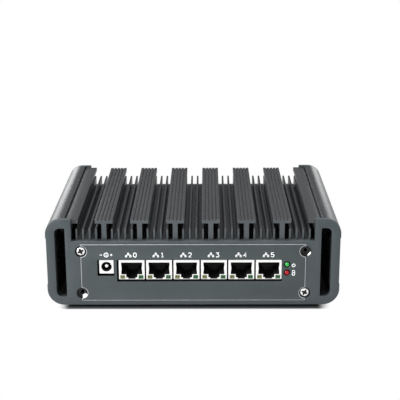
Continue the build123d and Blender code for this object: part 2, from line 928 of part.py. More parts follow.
def board_screws():
    """Screws up through the board into the posts."""
    screw = pan_screw(board_screw_radius, board_screw_height, screw_shank_radius, board_screw_length)
    return [Pos(x, y, board_under_z) * Rot(180, 0, 0) * screw for x, y in standoff_spots]


def processor():
    """The processor: a carrier with its die on top."""
    half = chip_size / 2
    carrier = block(-half, half, chip_y - half, chip_y + half, board_top_z, board_top_z + chip_height)
    half = die_size / 2
    top = board_top_z + chip_height + die_height
    return carrier + block(-half, half, chip_y - half, chip_y + half, board_top_z + chip_height, top)


def thermal_pad():
    """The pad between the die and the spreader."""
    half = die_size / 2
    low = board_top_z + chip_height + die_height
    return block(-half, half, chip_y - half, chip_y + half, low, low + pad_thickness)


def heat_spreader():
    """The block that carries heat from the pad to the ceiling."""
    low = board_top_z + chip_height + die_height + pad_thickness
    half = spreader_width / 2
    reach = spreader_length / 2
    return block(-half, half, chip_y - reach, chip_y + reach, low, ceiling_z)


def card_socket(x, width, depth, height, slot_width, slot_low, slot_height):
    """An edge socket hung from the board, slotted for the edge of a card."""
    half = width / 2
    body = block(x - half, x + half, memory_y, memory_y + depth, board_under_z - height, board_under_z)
    half = slot_width / 2
    return body - block(x - half, x + half, memory_y, card_end_y, slot_low, slot_low + slot_height)


def memory_socket():
    """The edge socket for the memory module."""
    return card_socket(memory_x, socket_length, socket_width, socket_height,
                       module_length, module_low, module_thickness)


def card_chip(x, y, size, low, height):
    """A square memory chip on the underside of a card."""
    return block(x - size / 2, x + size / 2, y - size / 2, y + size / 2, low - height, low)


def memory_module():
    """The memory module in its socket, with chips on its lower face."""
    half = module_length / 2
    free_end = card_end_y - module_width
    high = module_low + module_thickness
    module = block(memory_x - half, memory_x + half, free_end, card_end_y, module_low, high)
    for k in range(memory_chip_count):
        x = memory_x + (k - (memory_chip_count - 1) / 2) * memory_chip_pitch
        module += card_chip(x, free_end + memory_chip_inset, memory_chip_size, module_low, memory_chip_height)
    return module


def memory_latch(side):
    """One sprung arm that holds the free edge of the memory module."""
    high = board_under_z - latch_gap
    low = high - latch_arm_height
    inner = memory_x + side * (module_length / 2 + latch_gap)
    outer = inner + side * latch_arm
    tip = inner - side * latch_hook_reach
    pivot_x = inner + side * latch_post_radius
    pivot_y = memory_y - latch_gap - latch_post_radius
    end = pivot_y - latch_length
    left, right = sorted((inner, outer))
    latch = block(left, right, end, pivot_y, low, high)
    latch += post(pivot_x, pivot_y, latch_post_radius, low, high)
    hook_end = end + latch_hook_length
    hook_low = low - latch_hook_drop
    latch += block(left, right, end, hook_end, hook_low, low)
    left, right = sorted((tip, inner))
    return latch + block(left, right, end, hook_end, hook_low, module_low - latch_gap)


def drive_socket():
    """The edge socket for the solid-state drive."""
    return card_socket(drive_x, drive_socket_width, drive_socket_depth, drive_socket_height,
                       drive_width, drive_low, drive_thickness)


def drive_spots():
    """The two posts under the drive's free end."""
    reach = drive_width / 2 - drive_hole_inset
    return [(drive_x - reach, drive_hole_y), (drive_x + reach, drive_hole_y)]


def drive_module():
    """The solid-state drive card with its memory chips."""
    half = drive_width / 2
    free_end = card_end_y - drive_length
    card = block(drive_x - half, drive_x + half, free_end, card_end_y, drive_low, drive_low + drive_thickness)
    for x, y in drive_spots():
        card -= post(x, y, screw_clear_radius, drive_low, drive_low + drive_thickness)
    for k in range(drive_chip_count):
        y = free_end + (k + 1) * drive_chip_pitch
        card += card_chip(drive_x, y, drive_chip_size, drive_low, drive_chip_height)
    return card


def drive_posts():
    """The two posts between the board and the drive's free end."""
    low = board_under_z - module_drop
    tap_end = board_under_z - module_drop + drive_screw_length - drive_thickness
    return [post(x, y, drive_post_radius, low, board_under_z) - post(x, y, screw_tap_radius, low, tap_end)
            for x, y in drive_spots()]


def drive_screws():
    """The two screws that hold the drive to its posts."""
    screw = pan_screw(board_screw_radius, drive_screw_height, screw_shank_radius, drive_screw_length)
    return [Pos(x, y, drive_low) * Rot(180, 0, 0) * screw for x, y in drive_spots()]


def coin_cell():
    """The clock battery."""
    cell = post(cell_x, cell_y, cell_radius, cell_high - cell_height, cell_high)
    return chamfer(cell.edges().sort_by(Axis.Z)[0], cell_edge)


def cell_holder():
    """The notched ring that carries the clock battery."""
    low = cell_high - cell_height + cell_show
    ring = post(cell_x, cell_y, cell_ring_radius, low, board_under_z)
    ring -= post(cell_x, cell_y, cell_radius + cell_gap, low, cell_high)
    half = cell_notch_width / 2
    return ring - block(cell_x - half, cell_x + half, cell_y - cell_ring_radius - 1,
                        cell_y - cell_radius + cell_notch_reach, low, cell_high)


def controllers():
    """One network controller chip behind each front socket."""
    half = controller_size / 2
    low = board_under_z - controller_height
    y0 = controller_y - half
    y1 = controller_y + half
    return [block(x - half, x + half, y0, y1, low, board_under_z) for x in jack_xs]


def chokes():
    """Power chokes behind the power socket."""
    half = choke_size / 2
    low = board_under_z - choke_height
    ys = [choke_first_y + k * choke_pitch for k in range(choke_count)]
    return [block(power_x - half, power_x + half, y - half, y + half, low, board_under_z) for y in ys]


def capacitors():
    """A row of round capacitors between the memory and the drive."""
    low = board_under_z - capacitor_height
    ys = [capacitor_last_y - k * capacitor_pitch for k in range(capacitor_count)]
    return [post(capacitor_x, y, capacitor_radius, low, board_under_z) for y in ys]


# ---------------------------------------------------------------- writing the nodes

def save(name, shape):
    """Write one node, lifted onto the feet."""
    solids = shape if isinstance(shape, list) else [shape]
    lifted = [Pos(0, 0, foot_height) * solid for solid in solids]
    export_step(lifted[0] if len(lifted) == 1 else Compound(children=lifted), f"parts/{name}.step")


def main():
    """Build every piece and write its STEP file."""
    os.makedirs("parts", exist_ok=True)
    save("heat_sink", heat_sink())
    save("left_side_profile", side_profile(-1))
    save("right_side_profile", side_profile(1))
    save("front_bezel", bezel())
    save("rear_bezel", [turned(length) for length in bezel()])
    save("front_plate", front_plate())
    save("rear_plate", rear_plate())
    save("bottom_cover", bottom_cover())
    save("rubber_feet", feet())
    save("front_plate_screws", end_screws(fitted_front))
    save("rear_plate_screws", [turned(screw) for screw in end_screws(screw_spots)])
    save("cover_screws", cover_screws())
    save("heat_sink_screws", heat_sink_screws())
    for number, x in enumerate(jack_xs):
        save(f"lan_shield_{number}", jack_shield(x))
        save(f"lan_insert_{number}", jack_insert(x))
    rear_wires = [turned(wire) for wire in jack_contacts(-console_x)]
    rear_yellow, rear_green = [turned(lamp) for lamp in lamp_blocks(-console_x, 0)]
    save("socket_contacts", [wire for x in jack_xs for wire in jack_contacts(x)] + rear_wires)
    save("socket_lamps_yellow", [lamp_blocks(x, 0)[0] for x in jack_xs] + [rear_yellow])
    save("socket_lamps_green", [lamp_blocks(x, 0)[1] for x in jack_xs] + [rear_green])
    save("power_socket_shield", power_shield())
    save("power_socket_body", power_body())
    save("power_socket_pin", power_pin())
    save("lamp_holder", lamp_holder())
    save("power_lamp", panel_lamp(lamp_upper_z))
    save("drive_lamp", panel_lamp(lamp_lower_z))
    save("console_shield", console_shield())
    save("console_insert", console_insert())
    save("usb_shells", [turned(usb_shell(-x)) for x in usb_xs])
    save("usb_tongues", [turned(tongue) for x in usb_xs for tongue in usb_tongues(-x)])
    save("video_shell", turned(video_shell()))
    save("video_tongue", turned(video_tongue()))
    save("antenna_plugs", [antenna_plug(x) for x in plug_xs])
    save("power_button", button_cap())
    save("button_switch", button_switch())
    save("mainboard", mainboard())
    save("standoffs", standoffs() + drive_posts())
    save("board_screws", board_screws() + drive_screws())
    save("processor", processor())
    save("thermal_pad", thermal_pad())
    save("heat_spreader", heat_spreader())
    save("memory_socket", memory_socket())
    save("memory_module", memory_module())
    save("memory_latch_left", memory_latch(-1))
    save("memory_latch_right", memory_latch(1))
    save("drive_socket", drive_socket())
    save("drive_module", drive_module())
    save("coin_cell", coin_cell())
    save("cell_holder", cell_holder())
    save("lan_controllers", controllers())
    save("power_chokes", chokes())
    save("capacitors", capacitors())


main()
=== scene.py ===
import json
import math

import bmesh
import bpy
import numpy as np
from mathutils import Matrix, Vector
from mathutils.geometry import tessellate_polygon

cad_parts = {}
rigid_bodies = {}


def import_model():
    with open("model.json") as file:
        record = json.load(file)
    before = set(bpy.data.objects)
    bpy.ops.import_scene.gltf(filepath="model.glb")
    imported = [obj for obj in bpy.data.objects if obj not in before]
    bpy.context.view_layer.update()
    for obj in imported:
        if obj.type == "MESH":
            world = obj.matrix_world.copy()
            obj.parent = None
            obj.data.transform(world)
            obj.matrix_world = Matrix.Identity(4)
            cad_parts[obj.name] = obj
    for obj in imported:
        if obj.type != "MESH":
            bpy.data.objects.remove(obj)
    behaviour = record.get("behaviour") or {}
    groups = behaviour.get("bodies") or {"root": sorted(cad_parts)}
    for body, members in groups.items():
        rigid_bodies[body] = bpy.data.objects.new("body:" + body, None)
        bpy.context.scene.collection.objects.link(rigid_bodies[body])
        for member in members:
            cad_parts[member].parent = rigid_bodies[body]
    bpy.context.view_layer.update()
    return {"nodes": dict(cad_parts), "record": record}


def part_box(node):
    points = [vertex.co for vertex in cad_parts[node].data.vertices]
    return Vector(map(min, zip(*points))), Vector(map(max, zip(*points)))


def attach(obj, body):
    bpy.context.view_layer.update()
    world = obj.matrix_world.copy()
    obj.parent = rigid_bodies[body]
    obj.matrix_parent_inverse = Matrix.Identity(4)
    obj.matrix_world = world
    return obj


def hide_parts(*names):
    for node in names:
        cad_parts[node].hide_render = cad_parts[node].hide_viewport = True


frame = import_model()
mm = 0.001

# X runs across the front, Y from front to back and Z up. Sizes below are millimetres.


def boxOf(node):
    # A node's lowest and highest corner.
    low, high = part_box(node)
    return np.array(low) / mm, np.array(high) / mm


def unit(vectors):
    # Each vector over its own length.
    return vectors / np.maximum(np.linalg.norm(vectors, axis=-1, keepdims=True), 1e-12)


def roundedLoop(corners, radii, steps=5):
    # Each corner turns into an arc that touches its two sides: the arc's centre lies on the
    # bisector at radius / sin(half the corner), and points run evenly between the touches.
    c = np.asarray(corners, float)
    r = np.broadcast_to(np.asarray(radii, float), len(c))
    n = np.where(r > 0, np.broadcast_to(steps, len(c)), 1).astype(int)
    back, ahead = unit(np.roll(c, 1, 0) - c), unit(np.roll(c, -1, 0) - c)
    angle = np.arccos((back * ahead).sum(1).clip(-0.999999, 0.999999))
    reach = (r / np.tan(angle / 2))[:, None]
    centre = c + unit(back + ahead) * (r / np.sin(angle / 2))[:, None]
    first, last = c + back * reach - centre, c + ahead * reach - centre
    which = np.repeat(np.arange(len(c)), n)
    t = (np.arange(n.sum()) - np.repeat(np.cumsum(n) - n, n)) / np.maximum(n - 1, 1)[which]
    sweep = (np.pi - angle)[which]
    a = (np.sin((1 - t) * sweep) / np.sin(sweep))[:, None]
    b = (np.sin(t * sweep) / np.sin(sweep))[:, None]
    return centre[which] + a * first[which] + b * last[which]


def insetCorners(corners, radii, distance):
    # Every side moves inwards by the distance, so a corner moves along both sides' normals:
    # shift = d * (n1 + n2) / (1 + n1 . n2). Outer radii shrink with it and inner ones grow.
    c = np.asarray(corners, float)
    side = unit(np.roll(c, -1, 0) - c)
    normal = np.stack([-side[:, 1], side[:, 0]], 1)
    before = np.roll(normal, 1, 0)
    shift = (before + normal) / (1 + (before * normal).sum(1, keepdims=True))
    turn = np.sign(np.cross(np.roll(side, 1, 0), side))
    r = np.broadcast_to(np.asarray(radii, float), len(c))
    return c + shift * distance, np.where(r > 0, np.maximum(r - turn * distance, 0.02), 0)


def rectangle(x0, x1, z0, z1):
    # Four corners, anticlockwise from the lower left.
    return [(x0, z0), (x1, z0), (x1, z1), (x0, z1)]


def insideOf(limits, wall):
    # A rectangle given by its corners, less a wall all round.
    (x0, z0), (x1, z1) = limits[0], limits[2]
    return rectangle(x0 + wall, x1 - wall, z0 + wall, z1 - wall)


def circle(x, z, radius, count=48):
    # Points at even angles: centre + radius * (cos, sin).
    a = np.linspace(0, 2 * np.pi, count, endpoint=False)
    return np.stack([x + radius * np.cos(a), z + radius * np.sin(a)], 1)


def edged(start, end, edge):
    # (depth, inset) down a wall whose first edge is broken by the given amount.
    return [(start, edge), (start + edge, 0), (end, 0)]


def roundEnds(start, end, edge, steps):
    # (depth, inset) down a wall whose two ends are rounded over by a quarter circle.
    a = np.linspace(0, np.pi / 2, steps)
    depth, inset = edge * (1 - np.cos(a)), edge * (1 - np.sin(a))
    front = list(zip(start + depth, inset))
    return front + [(end - d, i) for d, i in zip(depth[::-1], inset[::-1])]


def loopLevels(corners, radii, levels, hole=False, steps=5):
    # One loop repeated down a wall: at each (depth, inset) an outer loop shrinks and a hole grows.
    loops = []
    for depth, inset in levels:
        c, r = insetCorners(corners, radii, -inset if hole else inset)
        loops.append((depth, roundedLoop(c, r, steps)))
    return loops


def boxLevels(limits, radius, levels, hole=False, steps=4):
    # The same for a rectangle with four equal corners.
    return loopLevels(limits, [radius] * 4, levels, hole, steps)


def circleLevels(x, z, radius, levels, count=48):
    # A round hole's wall: its radius grows by the inset at each depth.
    return [(depth, circle(x, z, radius + inset, count)) for depth, inset in levels]


def lifted(levels, height):
    # Every outline of a wall moved up.
    return [(depth, points + (0, height)) for depth, points in levels]


def prism(outer, holes=(), axis="y", edgeStrips=None, capKind=0):
    # A flat outline carried along an axis. Each loop is a list of (depth, points); points of
    # neighbouring levels are joined by quads, and the first and last levels are closed by caps.
    # Returns vertices, faces and a material number for each face.
    vertices, faces, kinds = [], [], []
    offset, firstRows, lastRows = 0, [], []
    for number, loop in enumerate([outer, *holes]):
        count = len(loop[0][1])
        for depth, points in loop:
            w = np.full(count, depth)
            u, v = points[:, 0], points[:, 1]
            vertices.append(np.stack((u, w, v) if axis == "y" else (u, v, w), 1))
        rows = offset + np.arange(len(loop) * count).reshape(len(loop), count)
        nextRows = np.roll(rows, -1, 1)
        quads = np.stack([rows[:-1], nextRows[:-1], nextRows[1:], rows[1:]], 2)
        strips = (edgeStrips or {}).get(number, {})
        for strip in range(len(loop) - 1):
            kinds += [strips.get(strip, 0)] * count
        faces += quads.reshape(-1, 4).tolist()
        firstRows.append((rows[0], loop[0][1]))
        lastRows.append((rows[-1], loop[-1][1]))
        offset += len(loop) * count
    for rowSet in (firstRows, lastRows):
        index = np.concatenate([row for row, _ in rowSet])
        outline = [[Vector((float(u), float(v), 0)) for u, v in points] for _, points in rowSet]
        triangles = tessellate_polygon(outline)
        faces += [[int(index[k]) for k in triangle] for triangle in triangles]
        kinds += [capKind] * len(triangles)
    return np.concatenate(vertices), faces, kinds


def gridFaces(rows, columns):
    # Quads of a grid whose columns run round.
    grid = np.arange(rows * columns).reshape(rows, columns)
    ahead = np.roll(grid, -1, 1)
    return np.stack([grid[:-1], ahead[:-1], ahead[1:], grid[1:]], 2).reshape(-1, 4).tolist()


def ringCaps(rows, columns):
    # The first and the last ring of such a grid, each as one face.
    return [list(range(columns)), list(range((rows - 1) * columns, rows * columns))]


def lathe(profile, centre, axis="z", count=64):
    # A profile of (radius, height) turned round: point = centre + (r cos a, r sin a, h). The
    # first and last rings are closed by flat caps.
    p = np.asarray(profile, float)
    a = np.linspace(0, 2 * np.pi, count, endpoint=False)
    u = p[:, :1] * np.cos(a)
    v = p[:, :1] * np.sin(a)
    w = np.repeat(p[:, 1:], count, 1)
    grid = np.stack((u, v, w) if axis == "z" else (u, w, v), 2)
    faces = gridFaces(len(p), count) + ringCaps(len(p), count)
    return grid.reshape(-1, 3) + np.asarray(centre, float), faces, [0] * len(faces)


def joined(parts):
    # Several (vertices, faces, kinds) as one.
    vertices, faces, kinds, offset = [], [], [], 0
    for v, f, k in parts:
        vertices.append(np.asarray(v, float))
        faces += [[i + offset for i in face] for face in f]
        kinds += list(k)
        offset += len(v)
    return np.concatenate(vertices), faces, kinds


def refinished(part, chosen, kind):
    # Another finish for the faces whose middles the test picks.
    vertices, faces, kinds = part
    middles = np.array([vertices[face].mean(0) for face in faces])
    return vertices, faces, np.where(chosen(middles), kind, kinds).tolist()


def turned(part):
    # The part turned half round about the upright axis, from the front end to the rear.
    vertices, faces, kinds = part
    return vertices * np.array([-1, -1, 1]), faces, kinds


def kindOf(part, number):
    # One finish for the whole part.
    vertices, faces, _ = part
    return vertices, faces, [number] * len(faces)


def addPiece(name, part, finishes, replaces, body="chassis", sharp=28):
    # Puts worked-out vertices and faces into a mesh, closes its seams and rides it on its body.
    vertices, faces, kinds = part
    mesh = bpy.data.meshes.new(name)
    mesh.from_pydata((np.asarray(vertices) * mm).tolist(), [], faces)
    mesh.polygons.foreach_set("material_index", np.asarray(kinds, np.int32))
    for finishName in finishes:
        mesh.materials.append(finish[finishName])
    shell = bmesh.new()
    shell.from_mesh(mesh)
    bmesh.ops.remove_doubles(shell, verts=shell.verts, dist=2e-6)
    bmesh.ops.recalc_face_normals(shell, faces=shell.faces)
    shell.to_mesh(mesh)
    shell.free()
    mesh.shade_smooth()
    mesh.set_sharp_from_angle(angle=math.radians(sharp))
    piece = bpy.data.objects.new(name, mesh)
    bpy.context.scene.collection.objects.link(piece)
    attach(piece, body)
    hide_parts(replaces)


# Finishes

def newNode(tree, kind, values=None, **settings):
    # A shader node with its own settings and its sockets' values.
    node = tree.nodes.new(f"ShaderNode{kind}")
    for name, value in settings.items():
        setattr(node, name, value)
    for socket, value in (values or {}).items():
        node.inputs[socket].default_value = value
    return node


def makeMaterial(name, look):
    # Colour runs between two tones with a cloudy noise and a fine grain, roughness follows the
    # clouds, and the grain also lifts the surface a little.
    material = bpy.data.materials.new(name)
    material.use_nodes = True
    tree = material.node_tree
    link = tree.links.new
    shader = tree.nodes["Principled BSDF"]
    for socket, value in look.get("shader", {}).items():
        shader.inputs[socket].default_value = value
    place = newNode(tree, "TexCoord")
    stretch = newNode(tree, "Mapping", {"Scale": look.get("stretch", (1, 1, 1))})
    cloud = newNode(tree, "TexNoise", {"Scale": look["cloud"], "Detail": 4})
    grain = newNode(tree, "TexNoise", {"Scale": look["grain"], "Detail": 2})
    blend = newNode(tree, "Mix", {"Factor": 0.4})
    tones = newNode(tree, "ValToRGB")
    for k, position in enumerate((0.32, 0.68)):
        tones.color_ramp.elements[k].position = position
        tones.color_ramp.elements[k].color = (*look["tones"][k], 1)
    smooth, coarse = look["roughness"]
    rough = newNode(tree, "MapRange",
                    {"From Min": 0.3, "From Max": 0.7, "To Min": smooth, "To Max": coarse})
    bump = newNode(tree, "Bump", {"Strength": 0.5, "Distance": look.get("depth", 0.02) * mm})
    link(place.outputs["Object"], stretch.inputs["Vector"])
    link(stretch.outputs["Vector"], cloud.inputs["Vector"])
    link(stretch.outputs["Vector"], grain.inputs["Vector"])
    link(cloud.outputs["Fac"], blend.inputs["A"])
    link(grain.outputs["Fac"], blend.inputs["B"])
    link(blend.outputs["Result"], tones.inputs["Fac"])
    link(tones.outputs["Color"], shader.inputs["Base Color"])
    link(cloud.outputs["Fac"], rough.inputs["Value"])
    link(rough.outputs["Result"], shader.inputs["Roughness"])
    link(grain.outputs["Fac"], bump.inputs["Height"])
    link(bump.outputs["Normal"], shader.inputs["Normal"])
    return material


finishLooks = {
    "dark_anodised": {"tones": ((0.067, 0.07, 0.073), (0.086, 0.089, 0.093)), "cloud": 140,
                      "grain": 2600, "stretch": (1, 0.05, 1), "roughness": (0.26, 0.3), "depth": 0.002,
                      "shader": {"Metallic": 0.45, "Specular Tint": (0.5, 0.5, 0.5, 1),
                                 "Specular IOR Level": 0.1}},
    "matt_ribs": {"tones": ((0.05, 0.053, 0.056), (0.066, 0.069, 0.073)), "cloud": 140, "grain": 2600,
                  "stretch": (1, 0.05, 1), "roughness": (0.6, 0.68), "depth": 0.002,
                  "shader": {"Metallic": 0.3, "Specular Tint": (0.5, 0.5, 0.5, 1),
                             "Specular IOR Level": 0.1}},
    "sawn_end": {"tones": ((0.062, 0.073, 0.079), (0.084, 0.096, 0.103)), "cloud": 60, "grain": 5200,
                 "roughness": (0.42, 0.5), "depth": 0.01, "shader": {"Metallic": 0.5}},
    "end_anodised": {"tones": ((0.055, 0.067, 0.072), (0.067, 0.081, 0.087)), "cloud": 60, "grain": 5200,
                     "roughness": (0.42, 0.5), "depth": 0.01, "shader": {"Metallic": 0.5}},
    "dark_plate": {"tones": ((0.052, 0.064, 0.067), (0.063, 0.078, 0.081)), "cloud": 60, "grain": 5200,
                   "roughness": (0.42, 0.5), "depth": 0.01, "shader": {"Metallic": 0.5}},
    # The pale finish below is a painted highlight on the narrow broken edge round each port plate.
    "painted_edge_highlight": {"tones": ((0.32, 0.34, 0.35), (0.46, 0.48, 0.5)), "cloud": 300, "grain": 4000,
                  "roughness": (0.35, 0.5), "depth": 0.005, "shader": {"Metallic": 0.6}},
    # The bright finish below is a painted highlight, laid on the lower right of the two empty screw
    # seats.
    "painted_seat_highlight": {"tones": ((0.75, 0.76, 0.77), (0.9, 0.9, 0.9)), "cloud": 700, "grain": 5000,
                   "roughness": (0.25, 0.4), "depth": 0.01, "shader": {"Metallic": 0.5}},
    # The near-black finish below is painted shade. It darkens the screw seats, the screws' cross
    # recesses, the walls of the port windows and the light pipes' stems.
    "painted_recess_shade": {"tones": ((0.01, 0.01, 0.01), (0.03, 0.03, 0.03)), "cloud": 500, "grain": 5000,
                    "roughness": (0.5, 0.6), "depth": 0.005, "shader": {"Metallic": 0.5}},
    "cover_sheet": {"tones": ((0.02, 0.022, 0.024), (0.032, 0.034, 0.036)), "cloud": 300, "grain": 2600,
                    "roughness": (0.5, 0.6), "depth": 0.05},
    "foot_rubber": {"tones": ((0.012, 0.012, 0.013), (0.022, 0.022, 0.023)), "cloud": 300, "grain": 3000,
                    "roughness": (0.7, 0.85), "depth": 0.03},
    "bright_screw": {"tones": ((0.84, 0.84, 0.83), (0.93, 0.93, 0.92)), "cloud": 400, "grain": 6000,
                     "roughness": (0.26, 0.36), "depth": 0.003, "shader": {"Metallic": 0.7}},
    "black_screw": {"tones": ((0.015, 0.015, 0.016), (0.03, 0.03, 0.031)), "cloud": 500, "grain": 5000,
                    "roughness": (0.35, 0.5), "shader": {"Metallic": 0.3}},
    "plated_shield": {"tones": ((0.88, 0.88, 0.87), (0.95, 0.95, 0.94)), "cloud": 200, "grain": 4000,
                      "roughness": (0.3, 0.4), "depth": 0.003, "shader": {"Metallic": 0.8}},
    # The near-black finish below is painted shade on the cans behind the sockets' faces.
    "painted_can_shade": {"tones": ((0.03, 0.03, 0.03), (0.06, 0.06, 0.06)), "cloud": 300, "grain": 4000,
                     "roughness": (0.5, 0.65), "depth": 0.004, "shader": {"Metallic": 0.5}},
    "black_moulding": {"tones": ((0.008, 0.008, 0.009), (0.016, 0.016, 0.017)), "cloud": 500,
                       "grain": 5000, "roughness": (0.45, 0.6), "depth": 0.01},
    "gilt_contact": {"tones": ((0.62, 0.43, 0.16), (0.83, 0.62, 0.28)), "cloud": 800, "grain": 6000,
                     "roughness": (0.25, 0.4), "shader": {"Metallic": 1.0}},
    "yellow_window": {"tones": ((0.17, 0.18, 0.07), (0.26, 0.26, 0.12)), "cloud": 900, "grain": 5000,
                      "roughness": (0.2, 0.3), "shader": {"Transmission Weight": 0.15}},
    "green_window": {"tones": ((0.02, 0.1, 0.035), (0.05, 0.17, 0.06)), "cloud": 900, "grain": 5000,
                     "roughness": (0.2, 0.3), "shader": {"Transmission Weight": 0.15}},
    # Each lamp has a lighter finish in its middle and a dark rim finish round it. The dark rim is
    # painted shade.
    "green_lamp": {"tones": ((0.02, 0.3, 0.05), (0.045, 0.42, 0.09)), "cloud": 900, "grain": 5000,
                   "roughness": (0.12, 0.18), "depth": 0.003, "shader": {"Specular IOR Level": 0.3}},
    "red_lamp": {"tones": ((0.3, 0.004, 0.012), (0.42, 0.008, 0.02)), "cloud": 900, "grain": 5000,
                 "roughness": (0.12, 0.18), "depth": 0.003, "shader": {"Specular IOR Level": 0.3}},
    "green_rim": {"tones": ((0.0, 0.035, 0.004), (0.002, 0.06, 0.008)), "cloud": 900, "grain": 5000,
                  "roughness": (0.12, 0.18), "depth": 0.003, "shader": {"Specular IOR Level": 0.3}},
    "red_rim": {"tones": ((0.035, 0.001, 0.002), (0.06, 0.001, 0.004)), "cloud": 900, "grain": 5000,
                "roughness": (0.12, 0.18), "depth": 0.003, "shader": {"Specular IOR Level": 0.3}},
    "usb_tongue": {"tones": ((0.02, 0.08, 0.4), (0.03, 0.11, 0.52)), "cloud": 600, "grain": 5000,
                   "roughness": (0.4, 0.5), "depth": 0.01},
    "button_finish": {"tones": ((0.42, 0.42, 0.43), (0.56, 0.56, 0.57)), "cloud": 400, "grain": 5000,
                      "roughness": (0.22, 0.34), "depth": 0.006, "shader": {"Metallic": 0.9}},
    "board": {"tones": ((0.008, 0.05, 0.022), (0.02, 0.11, 0.045)), "cloud": 500, "grain": 1600,
              "roughness": (0.3, 0.42), "depth": 0.03},
    "brass_post": {"tones": ((0.55, 0.4, 0.16), (0.75, 0.58, 0.28)), "cloud": 500, "grain": 4000,
                   "roughness": (0.25, 0.4), "shader": {"Metallic": 1.0}},
    "chip": {"tones": ((0.012, 0.012, 0.013), (0.03, 0.03, 0.031)), "cloud": 500, "grain": 5000,
             "roughness": (0.45, 0.6), "depth": 0.01},
    "pad": {"tones": ((0.28, 0.36, 0.45), (0.36, 0.46, 0.56)), "cloud": 500, "grain": 2500,
            "roughness": (0.7, 0.85), "depth": 0.03},
    "spreader": {"tones": ((0.62, 0.62, 0.63), (0.78, 0.78, 0.79)), "cloud": 200, "grain": 2500,
                 "stretch": (1, 0.05, 1), "roughness": (0.28, 0.42), "shader": {"Metallic": 0.9}},
    "cell": {"tones": ((0.52, 0.52, 0.52), (0.7, 0.7, 0.69)), "cloud": 300, "grain": 5000,
             "roughness": (0.22, 0.36), "shader": {"Metallic": 0.9}},
    "choke": {"tones": ((0.05, 0.05, 0.052), (0.11, 0.11, 0.112)), "cloud": 800, "grain": 4000,
              "roughness": (0.6, 0.75), "depth": 0.03},
    "capacitor": {"tones": ((0.5, 0.5, 0.52), (0.68, 0.68, 0.7)), "cloud": 400, "grain": 4000,
                  "roughness": (0.3, 0.45), "shader": {"Metallic": 0.7}},
    "white_print": {"tones": ((0.9, 0.92, 0.92), (0.97, 0.98, 0.98)), "cloud": 1200, "grain": 6000,
                    "roughness": (0.5, 0.65), "depth": 0.004},
}
finish = {name: makeMaterial(name, look) for name, look in finishLooks.items()}


def cardMaterial(name, level):
    # A board's finish above the level, and a chip's below it.
    material = makeMaterial(name, finishLooks["board"])
    tree = material.node_tree
    link = tree.links.new
    shader = tree.nodes["Principled BSDF"]
    boardTones = shader.inputs["Base Color"].links[0].from_node
    chipTones = newNode(tree, "ValToRGB")
    for element, tone in zip(chipTones.color_ramp.elements, finishLooks["chip"]["tones"]):
        element.color = (*tone, 1)
    place = newNode(tree, "TexCoord")
    parts = newNode(tree, "SeparateXYZ")
    under = newNode(tree, "Math", {1: level}, operation="LESS_THAN")
    pick = newNode(tree, "Mix", data_type="RGBA")
    link(boardTones.inputs["Fac"].links[0].from_socket, chipTones.inputs["Fac"])
    link(place.outputs["Object"], parts.inputs[0])
    link(parts.outputs["Z"], under.inputs[0])
    link(under.outputs[0], pick.inputs["Factor"])
    link(boardTones.outputs["Color"], pick.inputs["A"])
    link(chipTones.outputs["Color"], pick.inputs["B"])
    link(pick.outputs["Result"], shader.inputs["Base Color"])
    return material


for subpart in frame["record"]["subparts"]:
    for place in frame["nodes"][subpart["node"]].material_slots:
        place.material = finish[subpart["material_slot"]]
# The chips hang below the two cards, so their own height tells them apart.
chipHeights = {"memory_module": 1.1, "drive_module": 1.2}
for node, height in chipHeights.items():
    card = cardMaterial(f"{node}_card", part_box(node)[0][2] + (height - 0.05) * mm)
    for place in frame["nodes"][node].material_slots:
        place.material = card
print("finishes:", len(finish))


# Body: the finned heat sink and the two ducted side extrusions

bodyLook = {"shoulder": 9.7, "heel": 10.3, "corner": 0.18, "inner": 0.3, "sawnEdge": 0.12,
            "fins": 4, "finThickness": 1.2, "finHeight": 6.9, "firstFin": 4.9,
            "rails": 6, "railPitch": 22.0, "web": 3.2, "head": 11.3, "headThickness": 2.4,
            "ridges": 5, "grooveWidth": 0.6, "grooveDepth": 0.7, "grooveCorner": 0.08,
            "floorDrop": 12.9, "ribPitch": 1.0}
base = boxOf("rubber_feet")[1][2]
bodyLow, bodyHigh = boxOf("front_bezel")
faceY, bodyHalf, bodyTop = bodyLow[1], bodyHigh[0], bodyHigh[2] - base
sinkLow, sinkHigh = boxOf("heat_sink")
coreFront, coreBack = sinkLow[1], sinkHigh[1]
floorZ = sinkHigh[2] - bodyLook["floorDrop"]


